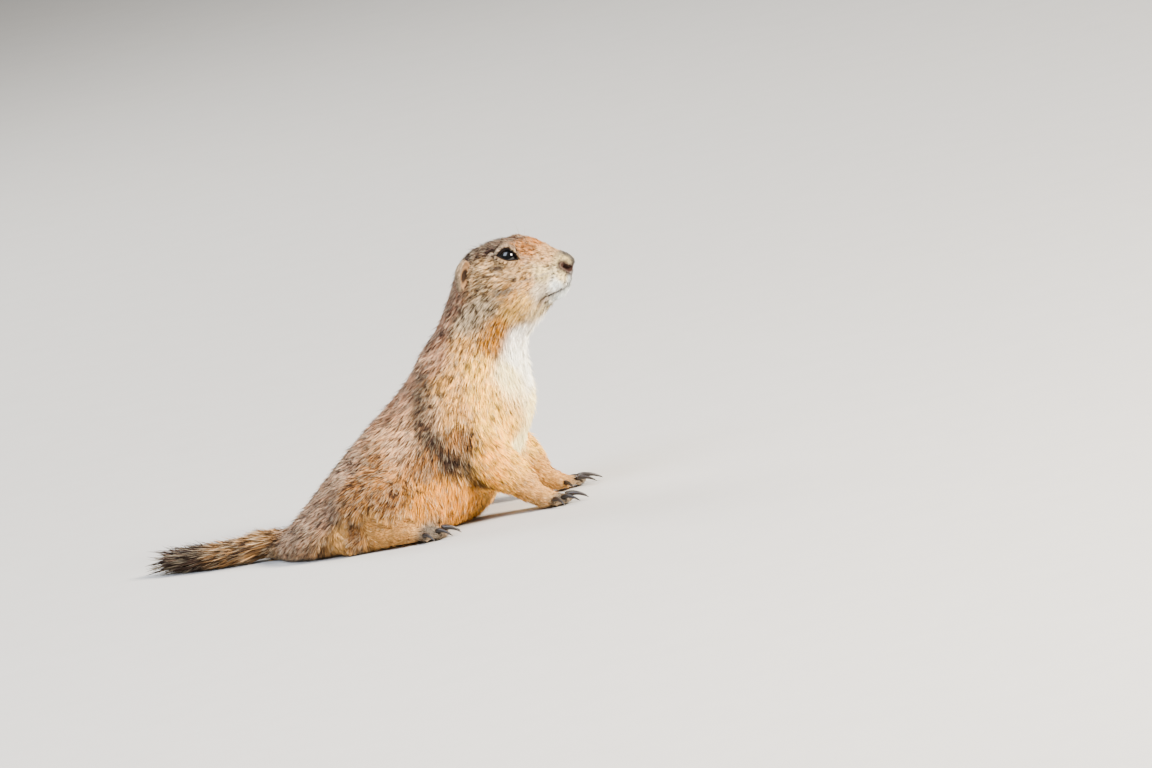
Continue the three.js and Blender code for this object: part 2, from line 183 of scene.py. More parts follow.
def normalsOf(places, triangles):
    a, b, c = (places[triangles[:, i]] for i in range(3))
    faces = np.cross(b - a, c - a)
    sums = np.stack([sum(np.bincount(triangles[:, i], faces[:, k], len(places)) for i in range(3))
                     for k in range(3)], axis=1)
    return unit(sums)


def relaxed(values, edges, weights, rounds):
    count = np.bincount(edges.ravel(), minlength=len(values))[:, None]
    for _ in range(rounds):
        sums = np.stack([np.bincount(edges[:, 0], values[edges[:, 1], k], len(values))
                         + np.bincount(edges[:, 1], values[edges[:, 0], k], len(values))
                         for k in range(values.shape[1])], axis=1)
        values = values + weights[:, None] * (sums / np.maximum(count, 1) - values)
    return values


def mirroredHalf(places):
    return places * np.where(places[:, 1:2] < 0, (1, -1, 1), (1, 1, 1))


def lineDistance(places, line):
    # distance to a line of points, and the offset from its nearest point and the share of the line there
    line = np.array(line, float)
    best = np.full(len(places), 1e9)
    offset = np.zeros_like(places)
    share = np.zeros(len(places))
    for i, (start, end) in enumerate(zip(line[:-1], line[1:])):
        step = end - start
        t = np.clip((places - start) @ step / (step @ step), 0, 1)
        gap = places - (start + t[:, None] * step)
        distance = np.linalg.norm(gap, axis=1)
        nearer = distance < best
        best[nearer] = distance[nearer]
        offset[nearer] = gap[nearer]
        share[nearer] = (i + t[nearer]) / (len(line) - 1)
    return best, offset, share


# Eye openings
aim = unit(np.array(eyes["aim"], float))
eyeAt = np.array(eyes["centre"], float)
level = unit(np.array((1, 0, 0)) - aim * aim[0])
rise = -np.cross(aim, level)
tilt = math.radians(eyes["opening"][1])
alongLid = level * math.cos(tilt) + rise * math.sin(tilt)
acrossLid = np.cross(alongLid, aim)


def lidOutline():
    # distance from the middle of the opening to its edge, against the angle
    length = eyes["opening"][0]
    upper, lower = eyes["lids"]
    t = np.linspace(0, 1, 60)[:, None]
    ends = np.array([(-length / 2, 0), (length / 2, -0.4)])
    edges = []
    for first, bend, last in ((ends[0], (-length / 6, upper), ends[1]), (ends[1], (0, lower), ends[0])):
        edges.append(first * (1 - t) ** 2 + np.array(bend) * 2 * t * (1 - t) + last * t ** 2)
    outline = np.concatenate(edges)
    angles = np.arctan2(outline[:, 1], outline[:, 0])
    order = np.argsort(angles)
    return angles[order], np.linalg.norm(outline, axis=1)[order]


lidAngles, lidReaches = lidOutline()


def lidDistance(half):
    # distance from the edge of the eye's opening, positive outside, and how far a place faces the eye's way
    ray = unit(half - eyeAt)
    facing = ray @ aim
    a = ray @ alongLid * (eyes["radius"] + 0.6)
    u = ray @ acrossLid * (eyes["radius"] + 0.6)
    reach = np.interp(np.arctan2(u, a), lidAngles, lidReaches, period=2 * math.pi)
    return np.where(facing > 0, np.hypot(a, u) - reach, 9), facing


def roundEye(half):
    return np.linalg.norm(half - eyeAt, axis=1) < eyes["radius"] + eyes["round"]


# Tones of the coat and the bare skin, as sRGB; some stand for painted shade: the crease by the shoulder and
# elbow, the back of the foreleg, the nostrils and the lips' parting, the ear canal and in part the sides of
# the nose
tones = dict(
    crown="#44312C", forehead="#B87739", bridge="#CBA06C", noseTop="#4E4A48", brow="#684A39",
    muzzle="#E1CA8F", lip="#F3FBFA", lipRear="#D8C6A6", chin="#C2AC7C", cheek="#C6904B",
    cheekLow="#D6A852", temple="#BB9563", nape="#A87454", neckSide="#B39C7A", ochre="#B0700A",
    throat="#FFFAF0", chest="#FFFCEE", chestLow="#FFEFB3", shoulder="#E7AA56", back="#BF8963",
    rump="#AD8566", flank="#99642F", flankLow="#DB9028", ribs="#DDA877", belly="#DDA54F", tail="#936B40",
    upperArm="#FFC951", forearm="#FFBA45", fringe="#6F6C5E", innerLeg="#FFF2B6", paw="#DFA75C",
    toe="#847664", tailTip="#3A2A20", dark="#3A2A20", darkTip="#271A13", paleTip="#EDD9B4",
    lidRim="#120B08", eyeRing="#D8BC9C", nostril="#2A1A14", nosePad="#54443C", lipGrey="#85817A",
    crease="#3A281C", earRim="#A48C6F", earInner="#7A5838", earCanalShade="#1E140E",
)


def blended(colour, tone, share):
    return colour + np.asarray(share)[..., None] * (linear(tones[tone]) - colour)


# The lie of the coat, piece by piece. Each guide has its place, the way the hair lies, its length, its tone,
# and the share of hairs with a dark tip. Places at the side stand for both sides.
coatGuides = {
    "face": [
        ((38, 0, 110), (-6, 0, 8), 1, "noseTop", 0),
        ((36, 0, 114), (-8, 0, 5), 1.8, "noseTop", 0),
        ((30, 0, 118.5), (-9, 0, 4), 2.6, "bridge", 0.14),
        ((24, 0, 123), (-9.5, 0, 3), 3.6, "forehead", 0.09),
        ((20, 9, 121), (-9.5, 0.5, 1), 3, "forehead", 0.22),
        ((27, 8, 116), (-9.5, 1.5, 0.5), 2.6, "bridge", 0.14),
        ((35, 5, 111), (-9, 3, 1), 1.3, "muzzle", 0.11),
        ((36.5, 3, 104), (-5, 5, -6), 1.3, "lip", 0),
        ((33, 8, 105), (-9, 3, -2), 2, "muzzle", 0.11),
        ((30, 9.5, 101.5), (-9, 2, -3.5), 2.2, "lip", 0.08),
        ((25, 13, 108), (-9.2, 2.5, -2), 3, "muzzle", 0.11),
        ((22, 15, 102), (-9, 2, -3), 3.6, "lipRear", 0.08),
        ((18, 17, 107), (-9.2, 2, -3), 4, "cheek", 0.24),
        ((13, 18, 112), (-9.5, 1.5, -2), 3.6, "temple", 0.22),
        ((30, 4, 96.5), (-8, 1, -5), 2.6, "lip", 0.08),
    ],
    "head": [
        ((15, 0, 126), (-10, 0, 1), 4.2, "brow", 0.38),
        ((5, 0, 127), (-10, 0, -0.5), 4.7, "crown", 0.45),
        ((4, 12, 125), (-10, 0.5, -1), 4.1, "crown", 0.45),
        ((-6, 0, 125), (-9, 0, -4), 5.2, "crown", 0.45),
        ((-12, 8, 122), (-7.5, 0, -6), 5.5, "crown", 0.45),
        ((10, 20, 104), (-8.8, 1, -4), 4.9, "cheek", 0.24),
        ((14, 19, 99), (-8.2, 1, -5), 4.9, "cheekLow", 0.12),
        ((2, 20.5, 108), (-9, 1, -4), 4.6, "temple", 0.31),
        ((0, 19, 119), (-9.7, 0.5, -2), 3.8, "temple", 0.39),
        ((-6, 21, 112), (-9, 1, -4), 4.3, "temple", 0.39),
        ((-16, 17, 112), (-7, 0, -7), 5.2, "nape", 0.45),
        ((18, 12, 95), (-7.5, 1.5, -6), 4.6, "chin", 0.08),
        ((24, 0, 93), (-8, 0, -6), 4, "chin", 0.08),
        ((8, 18, 94), (-7, 0, -7), 5.9, "cheekLow", 0.12),
    ],
    "neck": [
        ((-4, 22, 101), (-6.8, 0, -7.3), 4.87, "neckSide", 0.41),
        ((-14, 21, 96), (-6, 0, -8), 5.31, "neckSide", 0.42),
        ((-20, 14, 104), (-5.8, 0, -8.2), 5.31, "nape", 0.42),
        ((-25, 0, 105), (-5.5, 0, -8.3), 5.31, "nape", 0.41),
        ((0, 21, 88), (-5, 0, -8.5), 5.31, "ochre", 0.22),
        ((-6, 22, 82), (-4, 0, -9), 5.57, "ochre", 0.22),
        ((-17, 22, 82), (-5, 0, -8.5), 5.57, "shoulder", 0.29),
        ((-30, 12, 92), (-5.8, 0, -8.2), 5.57, "nape", 0.38),
    ],
    "chest": [
        ((16, 0, 86), (-5.5, 0, -8.3), 4.87, "throat", 0),
        ((8, 15, 82), (-3.5, 0, -9.5), 5.31, "throat", 0.01),
        ((10, 0, 76), (-2, 0, -10), 5.74, "chest", 0),
        ((6, 0, 62), (0, 0, -10), 6.18, "chest", 0),
        ((3, 12, 72), (-1.5, 0, -10), 6, "chest", 0),
        ((-1, 18, 66), (-1, 0, -10), 6, "chestLow", 0),
        ((4, 0, 46), (-1.5, 0, -10), 6.18, "chestLow", 0),
    ],
    "belly": [
        ((-10, 0, 28), (-5, 0, -8.5), 6.18, "innerLeg", 0),
        ((-36, 0, 0), (-10, 0, -1), 5.74, "belly", 0),
        ((-80, 0, 0), (-10, 0, 0), 5.74, "belly", 0),
    ],
    "back": [
        ((-38, 0, 88), (-6, 0, -8), 5.74, "back", 0.42),
        ((-34, 19, 80), (-5.5, 0.5, -8.3), 5.74, "back", 0.38),
        ((-50, 0, 75), (-7, 0, -7), 6, "back", 0.38),
        ((-56, 18, 66), (-6.8, 0.5, -7.2), 6, "back", 0.35),
        ((-70, 0, 58), (-7.8, 0, -6.2), 6.18, "back", 0.38),
    ],
    "rump": [
        ((-90, 0, 44), (-8, 0, -6), 6.18, "rump", 0.42),
        ((-90, 24, 38), (-8, 0.5, -5.8), 6.18, "rump", 0.38),
        ((-110, 0, 28), (-7.8, 0, -6.2), 6.18, "rump", 0.42),
        ((-112, 26, 18), (-8, 0, -5), 6.18, "rump", 0.36),
        ((-128, 0, 12), (-9, 0, -4), 5.74, "rump", 0.36),
    ],
    "shoulder": [
        ((-13, 25, 74), (-3.8, 1, -9), 5.74, "upperArm", 0.18),
        ((-27, 27, 68), (-4.5, 1, -8.8), 5.74, "shoulder", 0.30),
        ((-13, 29, 60), (-1.5, 0.5, -9.8), 5.74, "upperArm", 0.09),
        ((-26, 33, 54), (-2.5, 0, -9.5), 5.74, "shoulder", 0.28),
    ],
    "flank": [
        ((-44, 31, 56), (-5.5, 0.5, -8), 6.18, "ribs", 0.41),
        ((-58, 34, 48), (-6.5, 0.5, -7.5), 6.18, "ribs", 0.36),
        ((-46, 37, 34), (-4, 0, -9), 6.7, "flank", 0.32),
        ((-44, 37, 20), (-3, 0, -9.5), 6.7, "flankLow", 0.10),
        ((-34, 30, 12), (-3, 0, -9.5), 6.18, "flankLow", 0.10),
        ((-72, 38, 44), (-7.2, 0.5, -7), 6.18, "flank", 0.32),
    ],
    "haunch": [
        ((-66, 46, 22), (-6, 0, -8), 5.74, "flank", 0.32),
        ((-84, 44, 28), (-7.5, 0, -6.5), 6, "flank", 0.32),
        ((-100, 38, 20), (-8, 0, -5), 6, "rump", 0.36),
        ((-88, 44, 10), (-7, 0, -6), 5.31, "flank", 0.32),
        ((-53, 44, 14), (-3, 0, -9), 4.87, "flankLow", 0.10),
    ],
    "foreleg": [
        ((-12, 28, 46), (1, 0, -9.8), 6.5, "upperArm", 0.09),
        ((-28, 34, 42), (-0.5, 0, -9.8), 7.1, "flank", 0.32),
        # painted shade: grey-brown behind the foreleg, where it meets the flank
        ((-30, 26, 34), (2.5, 0, -9.7), 6.5, "fringe", 0.09),
        ((-16, 30, 34), (4.5, 0, -9), 5.5, "forearm", 0.09),
        ((-7, 22, 38), (3, -0.5, -9.5), 5.5, "upperArm", 0.09),
        ((-14, 31, 24), (6, 0, -8), 4.6, "forearm", 0.09),
        ((-17, 20, 18), (6, 0, -8), 4.9, "forearm", 0.09),
        ((-5, 22, 26), (6, 0, -8), 4.4, "upperArm", 0.09),
        ((-10, 12, 30), (4, 0, -9), 5.2, "innerLeg", 0),
    ],
    "paws": [
        ((-3, 22, 14), (8, 0, -6), 3, "paw", 0),
        ((6, 22, 9), (9.7, 0, -2.5), 2, "paw", 0),
        ((12, 24, 5), (10, 1, -1), 1.3, "toe", 0.1),
        ((-93, 40, 10), (4, 1, -5), 3.5, "paw", 0),
        ((-76, 44, 11), (9.5, 1.5, -2), 3, "paw", 0),
        ((-60, 46, 9), (9.7, 1.5, -1.5), 2.2, "paw", 0),
        ((-50, 48, 5), (10, 1.5, -1), 1.3, "toe", 0.08),
    ],
}
tail = {
    "line": [(-126, 0, 8), (-142, 1, 7.2), (-160, 6, 6.4), (-176, 13.5, 6), (-192, 23, 5.6)],
    "girth": [7.5, 4.6, 3.2, 2.4, 1.2],  # half the width of its flesh at those places
    "begins": (-129, -137),  # places along, between which the rump's coat becomes the tail's
    "hair": (21, 0.55, 0.45),  # length, its share at the base, and how much more at the end
    "splay": (0.02, 0.34),  # how far hairs point off the line at the base, and how much more at the end
    "lift": (0.42, 0.72),  # share of the coat's lift at its base and at its end
    "darkEnd": (0.5, 0.78),  # shares of its length, between which it darkens
    "grizzle": 0.3,
}
coatShape = {
    "perArea": 60,  # tufts of unit length for each square millimetre
    "denser": {"face": 1.45, "head": 1.2, "belly": 0.6, "foreleg": 0.8, "paws": 0.42, "tail": 1.6},
    "lift": (30, 13),  # degrees off the skin at a tuft's root and at its tip
    "depth": 0.38,  # height of the coat as a share of the hair's length
    "deepest": 3.4,
    "width": (0.12, 0.028),  # of a tuft, and how much wider for each millimetre of length
    "halves": (0.36, 0.5),  # half of it at the root and at the middle, as shares
    "earHair": 1.2,
    "stray": 0.05,  # share of hairs that stand off the coat
    "strayLift": (1.5, 0.3),  # times the lift at the root, and radians more at the tip
    "clump": 0.22,  # how far tips lean to their clump's tip
    "clumpSize": 9,  # tufts in a clump
    "clumpTone": 0.44,  # how much clumps differ in tone
    "together": 0.78,  # share of hairs with the tip of their clump, dark, plain or pale
    "uneven": {"hair": 0.13, "lie": 0.12, "lift": 0.22, "roll": 0.45, "tone": 0.15},  # from tuft to tuft
    "sunk": 0.25,  # how deep a tuft is rooted
    "overFloor": (0.2, 0.25),  # least height of a tuft's middle and of its tip
    "patch": 0.003,  # size of a tuft's place in the UV map
    "hold": (2, 2.2),  # millimetres round a guide where it holds fully, and how fast it loses hold
}
# Painted shade within the coat: the skin under the hair and the tufts' roots and middles are darker and the
# tips brighter, less so for pale hair, as it lets light through; partly also the hair's own darker base
coatLight = {
    "felt": (0.48, 0.45),  # brightness of the skin under the coat, and how much more under pale hair
    "root": (0.2, 0.45),  # the same of a tuft's root, as pale hair lets light through
    "middle": (0.7, 0.26),
    "tip": 1.15,
    "paleTip": (0.3, 0.9, 0.6),  # how bright pale tips are, how much more on pale hair, and the most
    "pale": (0.08, 0.8),  # share of pale tips, and how much more for the share of dark ones
}
coatPieces = [*coatGuides, "tail"]
guides = [(*guide, coatPieces.index(name)) for name, rows in coatGuides.items() for guide in rows]
guidePlaces, guideLies, guideHair, guideTones, guideGrizzle, guidePieces = map(list, zip(*guides))
guidePlaces = np.array(guidePlaces, float)
guideLies = unit(np.array(guideLies, float))
guideTones = np.array([linear(tones[name]) for name in guideTones])
guidePieces = np.array(guidePieces)


def tailShare(places):
    # how much a place belongs to the tail, and the tail's direction and share of length there
    _, offset, share = lineDistance(places, tail["line"])
    belongs = smoothStep(*tail["begins"], places[:, 0])
    line = np.array(tail["line"], float)
    index = np.clip(share * (len(line) - 1), 0, len(line) - 1.001)
    step = unit(np.diff(line, axis=0))
    first = np.floor(index).astype(int)
    nextOne = np.minimum(first + 1, len(step) - 1)
    along = unit(step[first] + (index - first)[:, None] * (step[nextOne] - step[first]))
    return belongs, along, share, offset


def coatFields(places):
    # the guides' values at places, each guide weighed by how near it is
    half = mirroredHalf(places)
    side = np.where(places[:, 1] < 0, -1, 1)
    lies = np.zeros_like(places)
    hair = np.zeros(len(places))
    colour = np.zeros_like(places)
    grizzle = np.zeros(len(places))
    piece = np.zeros(len(places), int)
    soft, power = coatShape["hold"]
    batch = 20000
    for start in range(0, len(places), batch):
        part = slice(start, start + batch)
        gaps = half[part, None, :] - guidePlaces[None, :, :]
        squares = (gaps ** 2).sum(2) + soft ** 2
        weights = squares ** -power
        weights /= weights.sum(1, keepdims=True)
        lies[part] = weights @ guideLies
        hair[part] = weights @ guideHair
        colour[part] = weights @ guideTones
        grizzle[part] = weights @ guideGrizzle
        piece[part] = guidePieces[squares.argmin(1)]
    lies[:, 1] *= side
    belongs, along, share, offset = tailShare(places)
    base, more = tail["splay"]
    splay = unit(offset) * (base + more * share)[:, None]
    lies = unit(lies) * (1 - belongs)[:, None] + (along + splay) * belongs[:, None]
    longest, base, more = tail["hair"]
    hair = hair + belongs * (longest * (base + more * share) - hair)
    tailTone = blended(linear(tones["tail"]), "tailTip", smoothStep(*tail["darkEnd"], share))
    colour = colour + belongs[:, None] * (tailTone - colour)
    grizzle = grizzle + belongs * (tail["grizzle"] - grizzle)
    piece = np.where(belongs > 0.5, coatPieces.index("tail"), piece)
    shortest, more = eyes["hair"]
    byEye = np.where(roundEye(half), lidDistance(half)[0], np.inf)
    hair = np.minimum(hair, shortest + more * np.maximum(byEye, 0))
    return {"lie": lies, "hair": hair, "colour": colour, "grizzle": grizzle, "piece": piece, "tail": belongs,
            "tailShare": share}


# Lines on the face, pressed into the skin or marked in the coat, as places on its left side
faceLines = {
    "mouth": [(22.5, 14.6, 97.2), (26.4, 12, 98.1), (29.5, 9.5, 98.5), (32.2, 7.2, 99), (34.6, 3.1, 100.2),
              (35.9, 0, 101)],
    "nostril": [(38.2, 2.2, 106.6), (37.4, 3.9, 107.2), (36, 5.6, 108.6), (34.8, 6.6, 109.8)],
    "insideNostril": [(36.6, 1.2, 106.8), (35.8, 2.9, 107.4), (34.4, 4.6, 108.8), (33.2, 5.6, 110)],
    "philtrum": [(39, 0, 107), (38, 0, 103.8), (36.4, 0, 101)],
}
# Depth and half width of the pressed ones, and how high the skin rises beside them
faceGrooves = {"mouth": (1.2, 0.6, 0.4), "nostril": (2.3, 1.05, 0.3), "philtrum": (0.7, 0.45, 0.25)}
# Soft swellings and dips of the face: place on its left side, reach and height
faceBumps = [
    ((38, 0, 109), 3.2, 0.5), ((35.5, 0, 113), 3.4, 0.7), ((37, 4, 110), 2.2, 0.6),
    ((35.5, 6.2, 111.6), 1.6, -0.35), ((33, 8, 103.5), 3.6, 0.5), ((27, 11.5, 102.5), 4, 0.35),
    ((33, 0, 97.5), 3, 0.5), ((12, 12.5, 125), 3.2, 0.4), ((20, 13, 116), 3, -0.3),
]
# Skin round the eyes, as heights over the eyeball and distances from the edge of the opening
lidShape = {
    "edge": 0.25,
    "swell": (0.75, 0.5),  # how much higher it is away from the edge, and how soon
    "fold": (0.2, 2, 0.6),  # depth, distance and half width of the fold round the lids
    "under": 0.9,  # how deep it goes under the eyeball's surface
    "soft": 0.35,  # width of the step down to there
    "fade": (0.8, 5.4),  # from the lids to the face
    "round": 6,  # how far round the ball the lids reach
}


def sculptFace(places, normals):
    half = mirroredHalf(places)
    side = np.where(places[:, 1:2] < 0, (1, -1, 1), (1, 1, 1))
    out = normals * side
    radius = eyes["radius"]
    away = half - eyeAt
    far = np.linalg.norm(away, axis=1)
    distance, facing = lidDistance(half)
    swell, soon = lidShape["swell"]
    fold, foldAt, foldHalf = lidShape["fold"]
    outer = (radius + lidShape["edge"] + swell * (1 - np.exp(-np.maximum(distance, 0) / soon))
             - fold * np.exp(-((distance - foldAt) / foldHalf) ** 2))
    inner = radius - lidShape["under"]
    stepDown = inner + (outer - inner) * smoothStep(-lidShape["soft"], 0, distance)
    target = np.where(distance > 0, outer, stepDown)
    weight = (1 - smoothStep(*lidShape["fade"], distance)) * smoothStep(0.05, 0.3, facing)
    weight = weight * (far < radius + lidShape["round"])
    shaped = eyeAt + unit(away) * (far + weight * (target - far))[:, None]
    for at, reach, height in faceBumps:
        gap = np.linalg.norm(half - np.array(at), axis=1)
        shaped = shaped + out * (height * np.exp(-(gap / reach) ** 2))[:, None]
    for name, (depth, wide, ridge) in faceGrooves.items():
        _, offset, share = lineDistance(half, faceLines[name])
        through = (offset * out).sum(1)
        beside = np.linalg.norm(offset - out * through[:, None], axis=1)
        fade = smoothStep(0, 0.2, share)
        if name != "mouth":
            fade = smoothStep(-0.1, 0.15, share) * smoothStep(1.05, 0.8, share)
        near = (np.abs(through) < 5) * fade
        raised = ridge * np.exp(-((beside - 2.2 * wide) / (1.3 * wide)) ** 2)
        pressed = depth * np.exp(-(beside / wide) ** 2)
        shaped = shaped + out * ((raised - pressed) * near)[:, None]
    return shaped * side


# Rows of dark spots where the whiskers grow: places along and up, and strengths
whiskerSpots = [(33.6 - 0.6 * row - 2.35 * step + random.uniform(-0.45, 0.45),
                 110.9 - 1.85 * row + 0.17 * (0.6 * row + 2.35 * step) + random.uniform(-0.35, 0.35),
                 random.uniform(0.4, 0.85)) for row in range(4) for step in range(7)]


# Marks in the coat and painted shade, as lines on its left side: tone, reach, strength, softness of the edge
# and places
coatMarksAndShade = [
    # painted shade: dark bands in the crease between the shoulder and the flank, and down behind the elbow
    ("crease", 5.2, 0.8, 0.75, [(-42, 20, 72), (-46, 31, 55), (-42, 34, 46)]),
    ("crease", 3.8, 0.84, 0.8, [(-42, 34, 46), (-36, 36, 35), (-36, 36, 29)]),
    ("crease", 3, 0.84, 0.8, [(-36, 36, 33), (-29.4, 33.9, 31), (-26.9, 30.8, 21.5), (-22, 28, 17)]),
    ("dark", 1.6, 0.9, 0.6, [(7.5, 19, 116.3), (5, 19, 117.4), (3, 19.2, 117.6)]),
    ("dark", 1.2, 0.9, 0.7, [(13.6, 19.8, 110), (12.6, 19.8, 109.6)]),
    ("dark", 1.9, 0.9, 0.7, [(10.5, 21.7, 105.6), (7.1, 22.3, 105.2), (4.1, 22.2, 106.3)]),
    ("dark", 0.6, 0.8, 0.7, [(21, 14, 116.4), (17.2, 14.8, 118.4)]),
    ("ochre", 2, 0.45, 0.8, [(24.5, 13.6, 96.6), (21, 15, 95)]),
    ("lipGrey", 3.1, 0.6, 0.7, faceLines["mouth"]),
]
# The nose's dark bare skin with painted shade: the pad's own darker tone, deepened as shade on the side of
# the nose round the nostrils
noseMarksAndShade = [
    ("nosePad", 2.3, 0.9, 0.5, [(38.6, 0, 107), (36.6, 5, 107), (38, 0, 103.5)]),
    ("nosePad", 2.9, 0.95, 0.4, [(36.4, 5.6, 107.4), (34.6, 7, 109.8)]),
    # painted shade: near black inside the nostrils and along the parting of the lips
    ("nostril", 1.3, 1, 0.35, faceLines["nostril"]),
    ("nostril", 1.8, 1, 0.3, faceLines["insideNostril"]),
    ("nostril", 0.75, 0.95, 0.5, faceLines["mouth"]),
]
# Where no hair grows on the face: reach, strength, softness of the edge and places
bareLines = [
    (1.8, 1, 0.25, faceLines["nostril"]),
    (2.2, 1, 0.25, faceLines["insideNostril"]),
    (0.75, 0.95, 0.5, faceLines["mouth"]),
    (1.5, 1, 0.3, [(38.6, 0, 107), (37, 4.2, 107), (38, 0, 104.5)]),
]
eyeMarks = {
    "rim": (0.35, 0.7),  # distances from the opening, between which the dark bare rim ends
    "ringIn": (0.4, 0.8),  # between which the pale ring begins
    "ringOut": (1.3, 2.4),  # between which it ends
    "ring": (0.65, 0.25),  # its strength, and the share of that below the eye
}
soleHeight = (1.2, 2.4)  # between which the hair of the feet begins


def nearLine(half, reach, strength, soft, line):
    gap, _, _ = lineDistance(half, line)
    return strength * (1 - smoothStep(reach * (1 - soft), reach * (1 + soft), gap))


def marksWithShade(places, colour):
    # the finer marks over the guides' tones, painted shade among them, and how bare the skin is
    half = mirroredHalf(places)
    distance, facing = lidDistance(half)
    for tone, *shape in coatMarksAndShade:
        colour = blended(colour, tone, nearLine(half, *shape))
    for x, z, strength in whiskerSpots:
        gap = np.hypot(half[:, 0] - x, half[:, 2] - z) + 9 * (half[:, 1] < 5)
        colour = blended(colour, "dark", strength * (1 - smoothStep(0.3, 0.85, gap)))
    strength, below = eyeMarks["ring"]
    above = below + (1 - below) * smoothStep(-1, 2, (half - eyeAt) @ acrossLid)
    ring = smoothStep(*eyeMarks["ringIn"], distance) * (1 - smoothStep(*eyeMarks["ringOut"], distance))
    colour = blended(colour, "eyeRing", strength * above * roundEye(half) * ring)
    rim = roundEye(half) * (1 - smoothStep(*eyeMarks["rim"], distance)) * (facing > 0)
    colour = blended(colour, "lidRim", rim)
    for tone, *shape in noseMarksAndShade:
        colour = blended(colour, tone, nearLine(half, *shape))
    sole = (1 - smoothStep(*soleHeight, places[:, 2])) * (half[:, 1] > 12) * (np.abs(half[:, 0] + 40) > 8)
    return colour, np.maximum.reduce([rim, sole] + [nearLine(half, *shape) for shape in bareLines])


# Skin under the coat
skinShape = {
    "voxel": 1.25,
    "closeGaps": 0.35,  # how much the solids grow, so that they merge
    "bodyRounds": 30,  # of smoothing, and of evening out the moves
    "fineRounds": 7,
    "evenMoves": 24,
    "lastRounds": 6,
    "faceRounds": 4,
    "faceMoves": 8,
    "floorGap": 0.1,
}
fleshNodes = ["torso", "neck", "head", "foreleg_r", "foreleg_l", "hindleg_r", "hindleg_l",
              "forepaw_r", "forepaw_l", "hindfoot_r", "hindfoot_l"]


def fineness(places):
    # 1 on the face, the paws and the tail, where little is smoothed away, and 0 on the body
    along, aside, height = mirroredHalf(places).T
    face = smoothStep(-6, 12, along + 0.8 * (height - 100)) * smoothStep(84, 92, height)
    forefoot = smoothStep(20, 13, height) * smoothStep(-14, -8, along)
    hindfoot = smoothStep(15, 11, height) * smoothStep(30, 36, aside) * (along > -104)
    return np.maximum.reduce([face, forefoot, hindfoot, smoothStep(-130, -138, along)])


def mergedCopy(name, grow):
    piece = copyOf(nodes[name], "flesh")
    edit(piece, bpy.ops.mesh.remove_doubles, threshold=2e-5)
    places = placesOf(piece)
    setPlaces(piece, places + grow * normalsOf(places, trianglesOf(piece)))
    return piece


def tailCore():
    core = added(bpy.ops.mesh.primitive_cylinder_add, vertices=20, radius=1, depth=1, end_fill_type="TRIFAN")
    edit(core, bpy.ops.mesh.subdivide, number_cuts=15)
    local = localOf(core)
    line = np.array(tail["line"], float)
    share = (local[:, 2] + 0.5) * (len(line) - 1)
    centre = np.stack([np.interp(share, range(len(line)), line[:, k]) for k in range(3)], axis=1)
    girth = np.interp(share, range(len(line)), tail["girth"]) * (1 - 0.9 * smoothStep(3.7, 4, share))
    ahead = np.interp(share, range(len(line)), np.gradient(line[:, 1]) / np.gradient(line[:, 0]))
    across = unit(np.stack([-ahead, np.ones_like(ahead), np.zeros_like(ahead)], axis=1))
    setPlaces(core, centre + (across * local[:, :1] + np.array((0, 0, 1)) * local[:, 1:2]) * girth[:, None])
    turnOut(core)
    return core


def headAndToes(places):
    along, aside, height = mirroredHalf(places).T
    head = (height > 92) & (along > -8) & (along + 0.5 * height > 54)
    hindToes = (aside > 38) & (along > -58) & (along < -40)
    return head | ((height < 11) & ((along > 0) | hindToes))


def noseAndEyes(places):
    half = mirroredHalf(places)
    nose = (half[:, 0] > 25) & (half[:, 2] > 95) & (half[:, 2] < 113)
    return nose | (np.linalg.norm(half - eyeAt, axis=1) < eyes["radius"] + 2.2)


def lidEdges(places):
    return np.abs(lidDistance(mirroredHalf(places))[0]) < 1.6


def deleteUnlinked():
    # all but what is linked to the chosen point
    bpy.ops.mesh.select_linked()
    bpy.ops.mesh.select_all(action="INVERT")
    bpy.ops.mesh.delete(type="VERT")


# Ears, low cups that open outwards and ahead
ears = {
    "centre": (-11.0, 18.0, 116.6),
    "size": (8.4, 6.6, 14.6),  # along, outwards and up
    "turn": (0.25, 0.42, -0.62),  # radians about x, y and z, for the left ear
    "cup": (0.18, 0.1, 0.9, 3.4),  # middle along and up and reach, as shares of the half size, and depth
    "canal": (0.2, 0.02, 0.42, 1.2),  # the same of the ear canal's dark mouth
    "taper": 0.42,  # narrowing towards the lower end
    "rearRim": 0.7,
    "frontSink": 1.1,
    "strengths": (0.8, 0.85, 0.95),  # of the tones of its rim, its inside, and the painted shade in its canal
}
earTurn = np.array(Matrix.Rotation(ears["turn"][0], 3, "X") @ Matrix.Rotation(ears["turn"][1], 3, "Y")
                   @ Matrix.Rotation(ears["turn"][2], 3, "Z"))


def earShift(local, zone):
    # distance on the ear's face from the middle of the cup or canal, as a share of the half size
    return np.hypot(local[:, 0] - zone[0], (local[:, 2] - zone[1]) * 0.85)


def ear(side):
    piece = added(bpy.ops.mesh.primitive_uv_sphere_add, segments=64, ring_count=44, radius=1)
    local = localOf(piece)
    outer = local[:, 1] > -0.05
    _, _, reach, depth = ears["cup"]
    opened = smoothStep(reach, reach * 0.45, earShift(local, ears["cup"])) * outer
    places = local * np.array(ears["size"]) / 2
    places[:, 0] *= 1 - ears["taper"] * smoothStep(0.3, -1, local[:, 2])
    places[:, 1] += ears["rearRim"] * smoothStep(-0.1, -0.9, local[:, 0]) - opened * depth
    _, _, reach, depth = ears["canal"]
    places[:, 1] -= depth * smoothStep(reach, 0.1, earShift(local, ears["canal"])) * outer
    places[:, 1] -= ears["frontSink"] * smoothStep(0.3, 1, local[:, 0])
    places = places @ earTurn.T + np.array(ears["centre"])
    places[:, 1] *= side
    setPlaces(piece, places)
    turnOut(piece)
    sortFaces(piece)
    return piece


